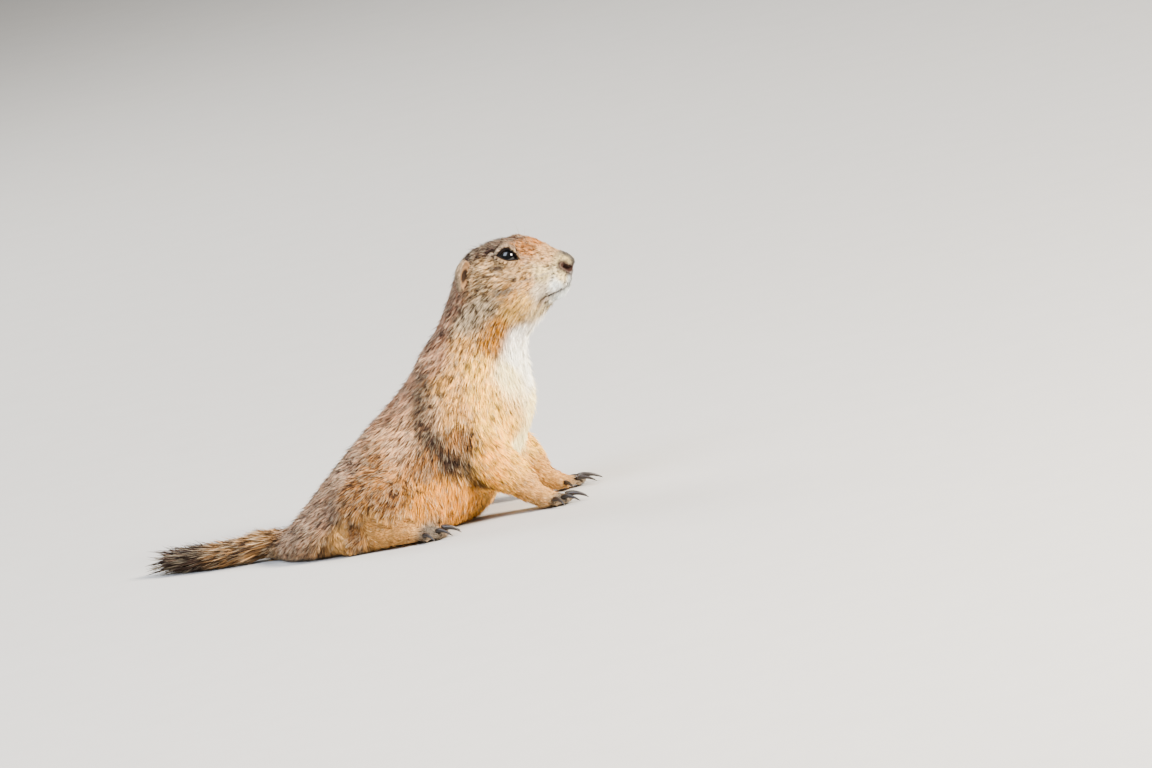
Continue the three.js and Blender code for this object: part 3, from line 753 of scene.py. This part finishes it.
def earTones(places, colour):
    # the ear's colours, and how far into its cup a place is
    local = (mirroredHalf(places) - np.array(ears["centre"])) @ earTurn / (np.array(ears["size"]) / 2)
    local[:, 0] /= 1 - ears["taper"] * smoothStep(0.3, -1, local[:, 2])
    face = local[:, 1] > -0.9
    reach = ears["cup"][2]
    inside = smoothStep(reach * 0.98, reach * 0.8, earShift(local, ears["cup"])) * face
    reach = ears["canal"][2]
    canal = smoothStep(reach * 1.35, reach * 0.7, earShift(local, ears["canal"])) * face
    rimTone, innerTone, canalTone = ears["strengths"]
    colour = blended(colour, "earRim", rimTone)
    colour = blended(colour, "earInner", innerTone * inside)
    # painted shade: the ear canal's mouth near black, for the depth of the hole
    colour = blended(colour, "earCanalShade", canalTone * canal)
    return colour, inside


print("skin: joining the flesh")
flesh = [mergedCopy(name, skinShape["closeGaps"]) for name in fleshNodes]
flesh += [mergedCopy(name, skinShape["closeGaps"] * 2) for name in ("eye_r", "eye_l")]
flesh.append(tailCore())
skin = joined(flesh)
skin.name = "skin"
remesh = skin.modifiers.new("even faces", "REMESH")
remesh.mode = "VOXEL"
remesh.voxel_size = skinShape["voxel"] / 1000
bpy.ops.object.modifier_apply(modifier=remesh.name)
heights = placesOf(skin)[:, 2]
edit(skin, deleteUnlinked, heights == heights.max())
print("skin:", len(skin.data.vertices), "points after the remesh")

places = placesOf(skin)
edges = edgesOf(skin)
surface = BVHTree.FromPolygons(places.tolist(), trianglesOf(skin).tolist())
fine = fineness(places)


def coatDepth(places):
    # how far the skin lies under the outline of the solids
    fields = coatFields(places)
    depth = (coatShape["depth"] * fields["hair"] - 0.1) * (1 - fields["tail"]) + 0.1
    return np.minimum(depth, coatShape["deepest"]) + skinShape["closeGaps"]


def pulledUnder(places, edges, depth, weights, rounds):
    # moves places along their normals until they lie the depth under the first surface, the moves evened out
    normals = normalsOf(places, trianglesOf(skin))
    moves = np.empty((len(places), 1))
    for i, place in enumerate(places):
        nearest, normal, _, _ = surface.find_nearest(Vector(place))
        moves[i] = -(Vector(place) - nearest).dot(normal)
    moves = relaxed(np.clip(moves, -3, 3) - depth[:, None], edges, weights, rounds)
    return places + normals * moves


places = relaxed(places, edges, 0.6 * (1 - fine), skinShape["bodyRounds"])
places = relaxed(places, edges, np.full(len(places), 0.5), skinShape["fineRounds"])
setPlaces(skin, places)
places = pulledUnder(places, edges, coatDepth(places), 0.6 - 0.35 * fine, skinShape["evenMoves"])
places = relaxed(places, edges, 0.4 * (1 - fine), skinShape["lastRounds"])
setPlaces(skin, places)

print("skin: finer face and paws")
for zone in (headAndToes, noseAndEyes, lidEdges):
    middles = toOwn(valuesOf(skin.data.polygons, "center", 3))
    edit(skin, bpy.ops.mesh.subdivide, zone(middles), "FACE", number_cuts=1)
places = placesOf(skin)
edges = edgesOf(skin)
fine = fineness(places)
places = relaxed(places, edges, 0.5 * fine, skinShape["faceRounds"])
setPlaces(skin, places)
depth = coatDepth(places)
onHead = places[:, 2] > 80
pulled = pulledUnder(places, edges, depth, np.full(len(places), 0.5), skinShape["faceMoves"])
places = places + (pulled - places) * (fine * onHead)[:, None]
places = sculptFace(places, normalsOf(places, trianglesOf(skin)))
places[:, 2] = np.maximum(places[:, 2], skinShape["floorGap"])
setPlaces(skin, places)
skinCount = len(places)
skin = joined([skin, ear(-1), ear(1)])
edit(skin, bpy.ops.mesh.quads_convert_to_tris)
print("skin: unwrapping")
for layer in list(skin.data.uv_layers):
    skin.data.uv_layers.remove(layer)
skin.data.uv_layers.new(name="OFBake")
edit(skin, bpy.ops.uv.smart_project, angle_limit=math.radians(66), island_margin=0.003)
bpy.ops.object.shade_smooth()

places = placesOf(skin)
triangles = trianglesOf(skin)
normals = normalsOf(places, triangles)


def coatTones(places):
    # the coat's colour where it is seen, its share of dark and pale hairs, and where it is bare
    fields = coatFields(places)
    colour, bare = marksWithShade(places, fields["colour"])
    return colour, fields["grizzle"], bare


def palenessOf(colour):
    return colour @ np.array((0.25, 0.65, 0.1))


def withAlpha(colours):
    return np.concatenate([colours, np.ones((len(colours), 1))], axis=1).ravel()


outer = places + normals * (coatDepth(places) - skinShape["closeGaps"])[:, None]
colour, _, bare = coatTones(outer)
isEar = np.arange(len(places)) >= skinCount
earColour, inEar = earTones(places, colour)
colour = np.where(isEar[:, None], earColour, colour)
shade = skin.data.attributes.new("coatToneAndShade", "FLOAT_COLOR", "POINT")
# the skin under the hair darkened as painted shade, less under pale hair; bare skin and the ears keep their
# tone
least, more = coatLight["felt"]
under = colour * np.where(isEar, 1, np.maximum(least + more * palenessOf(colour), bare))[:, None]
shade.data.foreach_set("color", withAlpha(under))
print("skin:", len(places), "points,", len(triangles), "triangles")


# Coat of fine flat tufts, each rooted in the skin and lying along the coat
print("coat: rooting the tufts")
corners = places[triangles]
areas = np.linalg.norm(np.cross(corners[:, 1] - corners[:, 0], corners[:, 2] - corners[:, 0]), axis=1) / 2
ofEar = isEar[triangles[:, 0]]
middleFields = coatFields(corners.mean(1))
middleHair = np.where(ofEar, coatShape["earHair"], middleFields["hair"])
denser = np.array([coatShape["denser"].get(name, 1) for name in coatPieces])[middleFields["piece"]]
perArea = coatShape["perArea"] * denser / (middleHair + 1.2)
perArea = perArea * 1 * (1 - np.maximum(bare, inEar * isEar)[triangles].mean(1))
total = int((areas * perArea).sum())
chosen = random.choice(len(triangles), total, p=areas * perArea / (areas * perArea).sum())
mix = random.dirichlet((1, 1, 1), total)
roots = (corners[chosen] * mix[:, :, None]).sum(1)
outwards = unit((normals[triangles[chosen]] * mix[:, :, None]).sum(1))
uvs = valuesOf(skin.data.uv_layers["OFBake"].data, "uv", 2)
rootUv = (uvs.reshape(-1, 3, 2)[chosen] * mix[:, :, None]).sum(1)
fields = coatFields(roots)
onEar = ofEar[chosen]
uneven = coatShape["uneven"]
hair = np.where(onEar, coatShape["earHair"], fields["hair"])
hair = hair * random.normal(1, uneven["hair"], total).clip(0.6, 1.4)
stray = random.random(total) < coatShape["stray"]
lie = fields["lie"] + random.normal(0, uneven["lie"], (total, 3))
lie = unit(lie - outwards * (lie * outwards).sum(1)[:, None])
width = coatShape["width"][0] + coatShape["width"][1] * hair
rootLift, tipLift = (np.radians(value) * random.normal(1, uneven["lift"], total).clip(0.3, 1.8)
                     for value in coatShape["lift"])
tailLift = np.interp(fields["tailShare"], (0, 1), tail["lift"])
strayRoot, strayTip = coatShape["strayLift"]
rootLift = rootLift * np.where(fields["tail"] > 0.5, tailLift, np.where(stray, strayRoot, 1))
tipLift = np.where(stray, tipLift + strayTip, tipLift)
early = lie * np.cos(rootLift)[:, None] + outwards * np.sin(rootLift)[:, None]
late = lie * np.cos(tipLift)[:, None] + outwards * np.sin(tipLift)[:, None]
across = np.cross(early, outwards)
roll = random.normal(0, uneven["roll"], total)
across = unit(across * np.cos(roll)[:, None] + outwards * np.sin(roll)[:, None])
middlePoints = roots + early * (hair * 0.5)[:, None]
tips = middlePoints + late * (hair * 0.5)[:, None]
print("coat:", total, "tufts")

# tips lean together in small clumps
leaders = random.choice(total, max(total // coatShape["clumpSize"], 1), replace=False)
tree = KDTree(len(leaders))
for i, root in enumerate(roots[leaders]):
    tree.insert(root, i)
tree.balance()
nearest = np.array([tree.find(root)[1] for root in roots])
leader = leaders[nearest]
lean = coatShape["clump"] * smoothStep(2.5, 7, hair)[:, None] * ~stray[:, None]
leaderTips = tips[leader] + (roots - roots[leader]) * 0.25
tips = tips + lean * (leaderTips - tips)
middlePoints = middlePoints + 0.3 * lean * (middlePoints[leader] - middlePoints)
middleFloor, tipFloor = coatShape["overFloor"]
tips[:, 2] = np.maximum(tips[:, 2], tipFloor)
middlePoints[:, 2] = np.maximum(middlePoints[:, 2], middleFloor)

print("coat: toning the tufts")
earTone = earTones(roots, np.zeros((total, 3)))[0]
midColour, grizzle, _ = coatTones(middlePoints)
tipColour, _, _ = coatTones(0.4 * middlePoints + 0.6 * tips)
midColour, tipColour = (np.where(onEar[:, None], earTone, colour) for colour in (midColour, tipColour))
tone = random.normal(1, uneven["tone"], total).clip(0.6, 1.45)[:, None]
clumpTone = random.normal(1, coatShape["clumpTone"], len(leaders)).clip(0.6, 1.5)[nearest][:, None]
tone = tone * (1 + (clumpTone - 1) * (0.4 + np.minimum(grizzle, 0.2)[:, None] * 3))
chance = np.where(random.random(total) < coatShape["together"], random.random(len(leaders))[nearest],
                  random.random(total))
grizzle = grizzle * ~onEar
darkTip = (chance < grizzle)[:, None]
least, more = coatLight["pale"]
paleTip = (chance > 1 - least - more * grizzle)[:, None]
paleness = palenessOf(midColour)[:, None]
# painted shade deep in the coat: darker roots and middles, brighter tips, less so for pale hair
least, more = coatLight["root"]
rootTone = midColour * tone * (least + more * paleness)
least, more = coatLight["middle"]
midTone = midColour * tone * (least + more * paleness)
tipTone = np.where(darkTip, linear(tones["darkTip"]), tipColour * tone * coatLight["tip"])
least, more, most = coatLight["paleTip"]
paleShare = np.minimum(least + more * paleness, most)
tipTone = np.where(paleTip, 0.4 * tipTone + linear(tones["paleTip"]) * paleShare, tipTone)
midTone = np.where(darkTip, 0.2 * midTone + 0.8 * linear(tones["darkTip"]), midTone)


def tuftMesh(name, chosen):
    count = len(chosen)
    wide = across[chosen] * width[chosen, None]
    base = roots[chosen] - outwards[chosen] * coatShape["sunk"]
    middle = middlePoints[chosen]
    rootHalf, middleHalf = (wide * share for share in coatShape["halves"])
    points = np.stack([base - rootHalf, base + rootHalf, middle - middleHalf, middle + middleHalf,
                       tips[chosen]], axis=1).reshape(-1, 3)
    shades = np.stack([rootTone[chosen], rootTone[chosen], midTone[chosen], midTone[chosen], tipTone[chosen]],
                      axis=1).reshape(-1, 3)
    pattern = np.array([0, 1, 3, 0, 3, 2, 2, 3, 4])
    loops = (np.arange(count)[:, None] * 5 + pattern).ravel().astype(np.int32)
    size = coatShape["patch"]
    patch = size * np.array([(0, 0), (1, 0), (0, 0.6), (1, 0.6), (0.5, 1)])
    uv = (rootUv[chosen][:, None, :] - size / 2 + patch[None]).clip(0.0005, 0.9995)[:, pattern].ravel()
    mesh = bpy.data.meshes.new(name)
    mesh.vertices.add(count * 5)
    mesh.vertices.foreach_set("co", toMetres(points).ravel())
    mesh.loops.add(count * 9)
    mesh.loops.foreach_set("vertex_index", loops)
    mesh.polygons.add(count * 3)
    mesh.polygons.foreach_set("loop_start", np.arange(count * 3, dtype=np.int32) * 3)
    mesh.update(calc_edges=True)
    mesh.uv_layers.new(name="OFBake").data.foreach_set("uv", uv)
    shade = mesh.attributes.new("coatToneAndShade", "FLOAT_COLOR", "POINT")
    shade.data.foreach_set("color", withAlpha(shades))
    mesh.polygons.foreach_set("use_smooth", np.ones(count * 3, bool))
    piece = bpy.data.objects.new(name, mesh)
    bpy.context.scene.collection.objects.link(piece)
    return piece


pieceOf = np.where(onEar, coatPieces.index("head"), fields["piece"])
coats = {}
for i, name in enumerate(coatPieces):
    chosen = np.nonzero(pieceOf == i)[0]
    if len(chosen):
        coats[name] = tuftMesh("coat_" + name, chosen)
        print("coat:", name, len(chosen) * 3, "triangles")


# Eyeballs, with a cornea that bulges over the pupil
def eyeball(mark, side):
    piece = added(bpy.ops.mesh.primitive_uv_sphere_add, segments=64, ring_count=40, radius=1)
    piece.name = "eyeball_" + mark
    mirror = np.array((1, side, 1))
    local = localOf(piece)
    bulge = eyes["bulge"] * smoothStep(0.72, 0.95, local @ (aim * mirror))
    setPlaces(piece, eyeAt * mirror + local * (eyes["radius"] + bulge - eyes["under"])[:, None])
    sortFaces(piece)
    bpy.ops.object.shade_smooth()
    return piece


# Claws, curved and tapering to a blunt point: one is modelled, and its copies are stretched to their toes
claw = {
    "half": 1.2,  # half the width at the root
    "tip": 0.3,
    "flat": (1.05, 0.85),  # how deep and how wide it is for that
    "arch": 0.09,  # rise of its back for its length
    "sunk": 1.6,  # how far its root goes into the toe
    "sides": 14,
    "cuts": 10,
}


def clawModel():
    piece = added(bpy.ops.mesh.primitive_cylinder_add, vertices=claw["sides"], radius=1, depth=1,
                  end_fill_type="TRIFAN")
    edit(piece, bpy.ops.mesh.subdivide, number_cuts=claw["cuts"])
    bpy.ops.object.shade_smooth()
    return piece


def clawAt(name, model):
    own = placesOf(bpy.data.objects[name])
    low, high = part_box(name.rsplit("_claw", 1)[0])
    pawMiddle = toOwn(np.array([(low + high) / 2]))[0]
    away = own - pawMiddle
    order = np.argsort(np.hypot(away[:, 0], away[:, 1]))  # from the toe to the point
    root = own[order[:len(order) // 5]].mean(0)
    tip = own[order[-4:]].mean(0)
    ahead = unit((tip - root) * (1, 1, 0))
    left = np.array((-ahead[1], ahead[0], 0))
    start = root - ahead * claw["sunk"] + np.array((0, 0, 0.2))
    length = float((tip - start) @ ahead)
    piece = copyOf(model, name + "_horn")
    local = localOf(piece)
    share = local[:, 2] + 0.5
    half = claw["half"] + (claw["tip"] - claw["half"]) * share ** 1.4
    half = half * (1 - 0.75 * smoothStep(0.93, 1, share))
    deep, wide = claw["flat"]
    aside = local[:, 1] * half * wide
    shaped = start * (1, 1, 0) + ahead * (length * share)[:, None] + left * aside[:, None]
    arch = claw["arch"] * length * 4 * share * (1 - share)
    height = start[2] + (tip[2] - start[2]) * share ** 1.5 + arch
    shaped[:, 2] = np.maximum(height + local[:, 0] * half * deep, skinShape["floorGap"])
    setPlaces(piece, shaped)
    turnOut(piece)
    return piece


# Whiskers, long fine hairs from the muzzle, with a few over the eyes and on the cheeks
whiskers = {
    "perSide": 13,
    "length": (17, 31),
    "half": 0.1,  # half the width at the root
    "cuts": 5,
    "droop": (-0.14, 0, -0.19),
    "others": [((17, 12, 124), (0.2, 0.6, 0.9), 11), ((14, 12.5, 125), (-0.1, 0.6, 0.9), 12),
               ((8, 20, 107), (-0.5, 0.8, -0.2), 13)],  # place, way and length
}


def whiskerModel():
    piece = added(bpy.ops.mesh.primitive_cone_add, vertices=5, radius1=1, radius2=0.2, depth=1)
    edit(piece, bpy.ops.mesh.subdivide, number_cuts=whiskers["cuts"])
    bpy.ops.object.shade_smooth()
    return piece


def whiskerRow(mark, side, model):
    grown = []
    shortest, longest = whiskers["length"]
    for i in range(whiskers["perSide"]):
        row, step = i % 4, i // 4
        grown.append(((33 - 2.4 * step - 0.6 * row, 6.4 + 1.2 * step + 0.3 * row, 108.2 - 1.7 * row),
                      (-0.35 - 0.12 * step, 0.9, 0.12 - 0.22 * row),
                      shortest + random.random() * (longest - shortest)))
    hairs = []
    for at, way, length in grown + whiskers["others"]:
        index = skinTree.find(np.array(at) * (1, side, 1))[1]
        root = places[index] - normals[index] * 0.4
        way = unit(np.array(way) * (1, side, 1))
        across = unit(np.cross(way, (0, 0, 1)))
        hair = copyOf(model, "whiskers_" + mark)
        local = localOf(hair)
        share = (local[:, 2] + 0.5)[:, None]
        spread = across * local[:, :1] + np.cross(across, way) * local[:, 1:2]
        droop = np.array(whiskers["droop"]) * length * share ** 2
        setPlaces(hair, root + way * length * share + droop + spread * whiskers["half"])
        hairs.append(hair)
    piece = joined(hairs)
    turnOut(piece)
    return piece


# Materials
def perMetre(size):
    # how often a pattern of a size in millimetres comes in a metre
    return 1000 / size


def addNode(tree, kind, settings=None, **inputs):
    node = tree.nodes.new(kind)
    for name, value in (settings or {}).items():
        setattr(node, name, value)
    for name, value in inputs.items():
        socket = node.inputs[int(name[1:])] if name[1:].isdigit() else node.inputs[name.replace("_", " ")]
        if isinstance(value, bpy.types.NodeSocket):
            tree.links.new(value, socket)
        else:
            socket.default_value = value
    return node


def newMaterial(name):
    material = bpy.data.materials.new(name)
    material.use_nodes = True
    tree = material.node_tree
    tree.nodes.clear()
    return material, tree, addNode(tree, "ShaderNodeTexCoord").outputs["Object"]


def shaded(material, **inputs):
    shader = addNode(material.node_tree, "ShaderNodeBsdfPrincipled", **inputs)
    addNode(material.node_tree, "ShaderNodeOutputMaterial", Surface=shader.outputs[0])
    return material


def wearing(piece, material):
    piece.data.materials.clear()
    piece.data.materials.append(material)


def furColour(tree, where, mottle):
    # the coat's tones with the shade painted into them, a little uneven from lock to lock
    shade = addNode(tree, "ShaderNodeAttribute", {"attribute_name": "coatToneAndShade"})
    noise = addNode(tree, "ShaderNodeTexNoise", Vector=where, Scale=perMetre(mottle), Detail=3.0,
                    Roughness=0.6)
    amount = addNode(tree, "ShaderNodeMapRange", Value=noise.outputs[0], From_Min=0.3, From_Max=0.7,
                     To_Min=0.9, To_Max=1.1)
    toned = addNode(tree, "ShaderNodeVectorMath", {"operation": "SCALE"}, i0=shade.outputs["Color"],
                    Scale=amount.outputs[0])
    return toned.outputs[0]


def hairMaterial():
    # dry coat hair: matt, with hardly any gloss, mottled from lock to lock
    material, tree, where = newMaterial("dry coat hair")
    return shaded(material, Base_Color=furColour(tree, where, 5.5), Roughness=0.65, Specular_IOR_Level=0.1)


def skinMaterial():
    # undercoat felt: the coat's tones, darkened as painted shade under the hair, without gloss, with short
    # flat hair as bump
    material, tree, where = newMaterial("undercoat felt")
    grain = addNode(tree, "ShaderNodeTexNoise", Vector=where, Scale=perMetre(0.7), Detail=3.0, Roughness=0.65)
    bump = addNode(tree, "ShaderNodeBump", Strength=0.5, Distance=0.0003, Height=grain.outputs[0])
    return shaded(material, Base_Color=furColour(tree, where, 4), Roughness=0.85, Specular_IOR_Level=0.1,
                  Normal=bump.outputs[0])


def eyeMaterial(side):
    # wet eye: a near black iris round a black pupil, under clear tears
    material, tree, where = newMaterial("wet eye " + ("left" if side > 0 else "right"))
    pupil = toMetres([(eyeAt + aim * eyes["radius"]) * (1, side, 1)])[0]
    gap = addNode(tree, "ShaderNodeVectorMath", {"operation": "DISTANCE"}, i0=where, i1=tuple(pupil))
    reach = eyes["pupil"] / 1000
    ramp = addNode(tree, "ShaderNodeMapRange", {"interpolation_type": "SMOOTHSTEP"},
                   Value=gap.outputs["Value"], From_Min=reach * 0.9, From_Max=reach * 1.15, To_Min=0.0,
                   To_Max=1.0)
    mixed = addNode(tree, "ShaderNodeMix", {"data_type": "RGBA"}, i0=ramp.outputs[0],
                    i6=(*linear("#020202"), 1), i7=(*linear("#0A0604"), 1))
    return shaded(material, Base_Color=mixed.outputs[2], Roughness=0.05)


def twoToned(tree, where, size, first, second, detail=4.0):
    # two tones mixed by a noise of a size in millimetres, and the noise
    noise = addNode(tree, "ShaderNodeTexNoise", Vector=where, Scale=perMetre(size), Detail=detail)
    mixed = addNode(tree, "ShaderNodeMix", {"data_type": "RGBA"}, i0=noise.outputs[0],
                    i6=(*linear(first), 1), i7=(*linear(second), 1))
    return mixed.outputs[2], noise.outputs[0]


def hornMaterial():
    # claw horn: dark and satin, with paler streaks
    material, tree, where = newMaterial("dark claw horn")
    tone, streaks = twoToned(tree, where, 1.1, "#0F0C0A", "#332A23")
    bump = addNode(tree, "ShaderNodeBump", Strength=0.3, Distance=0.0001, Height=streaks)
    return shaded(material, Base_Color=tone, Roughness=0.36, Normal=bump.outputs[0])


def whiskerMaterial():
    # whisker: a springy brown hair with a soft gloss
    material, tree, where = newMaterial("brown whisker hair")
    tone, _ = twoToned(tree, where, 8, "#4E4034", "#B5A693", 2.0)
    return shaded(material, Base_Color=tone, Roughness=0.4)


def floorMaterial():
    # pale matt studio floor
    material, tree, where = newMaterial("pale matt floor")
    tone, _ = twoToned(tree, where, 25, "#ADAAA4", "#B3B0AA")
    return shaded(material, Base_Color=tone, Roughness=0.9)


print("materials and small pieces")
coatHair = hairMaterial()
wearing(skin, skinMaterial())
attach(skin, "root")
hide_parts(*fleshNodes, "ear_r", "ear_l", "tail")
for name, piece in coats.items():
    wearing(piece, coatHair)
    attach(piece, "root")
horn = hornMaterial()
whiskerHair = whiskerMaterial()
skinTree = KDTree(len(places))
for i, place in enumerate(places):
    skinTree.insert(place, i)
skinTree.balance()
clawStart = clawModel()
whiskerStart = whiskerModel()
for mark, side in (("r", -1), ("l", 1)):
    ball = eyeball(mark, side)
    wearing(ball, eyeMaterial(side))
    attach(ball, "root")
    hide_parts("eye_" + mark)
    hairs = whiskerRow(mark, side, whiskerStart)
    wearing(hairs, whiskerHair)
    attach(hairs, "root")
    for paw in ("forepaw_", "hindfoot_"):
        for number in range(1, 6):
            name = f"{paw}{mark}_claw_{number}"
            nail = clawAt(name, clawStart)
            wearing(nail, horn)
            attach(nail, "root")
            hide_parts(name)
for model in (clawStart, whiskerStart):
    bpy.data.objects.remove(model)

floorSize = 12.0
ground = added(bpy.ops.mesh.primitive_plane_add, size=floorSize)
ground.name = "floor"
wearing(ground, floorMaterial())

# Camera, seen from the animal's right and a little ahead, rolled as the slope of the ground asks
view = {
    "azimuth": 12,
    "elevation": 8,
    "roll": 14,
    "distance": 5000,
    "frameWidth": 548.57,  # how much of the scene the picture is wide at the target
    "target": (0, -16, 0),
    "aside": 14.76,  # how far the picture's middle is from the target
    "above": 58.10,
    "sensor": 36,
}
turns = {name: math.radians(view[name]) for name in ("azimuth", "elevation", "roll")}
facing = (Matrix.Rotation(turns["azimuth"], 3, "Z")
          @ Matrix.Rotation(math.pi / 2 - turns["elevation"], 3, "X")
          @ Matrix.Rotation(-turns["roll"], 3, "Z"))
cameraAt = Vector(view["target"]) + facing @ Vector((view["aside"], view["above"], view["distance"]))
lens = bpy.data.cameras.new("camera")
lens.sensor_width = view["sensor"]
lens.lens = view["sensor"] * view["distance"] / view["frameWidth"]
lens.clip_end = 60
camera = bpy.data.objects.new("camera", lens)
camera.matrix_world = Matrix.LocRotScale(Vector(toMetres([cameraAt])[0]), facing, None)
bpy.context.scene.collection.objects.link(camera)
bpy.context.scene.camera = camera

# Soft studio light: place around the animal in metres, size, power and warmth
lights = {
    "key": {"at": (1.95, -0.85, 1.35), "size": 0.6, "power": 340, "tone": "#FFF4E6"},
    "sky": {"at": (-0.5, -1.2, 2.2), "size": 1.8, "power": 115, "tone": "#DCE9FF"},
    "rim": {"at": (-1.3, 1.5, 1.6), "size": 1.1, "power": 85, "tone": "#FFFFFF"},
}
centre = Vector(toMetres([(-40, 0, 60)])[0])
for name, light in lights.items():
    lamp = bpy.data.lights.new(name, "AREA")
    lamp.size = light["size"]
    lamp.energy = light["power"]
    lamp.color = linear(light["tone"])
    holder = bpy.data.objects.new(name, lamp)
    holder.location = centre + Vector(light["at"])
    holder.rotation_euler = (-Vector(light["at"])).to_track_quat("-Z", "Y").to_euler()
    bpy.context.scene.collection.objects.link(holder)
around = {"tone": "#F1F1F0", "strength": 0.44}
world = bpy.data.worlds.new("pale studio")
world.use_nodes = True
backdrop = world.node_tree.nodes["Background"]
backdrop.inputs["Color"].default_value = (*linear(around["tone"]), 1)
backdrop.inputs["Strength"].default_value = around["strength"]
bpy.context.scene.world = world

print("done")
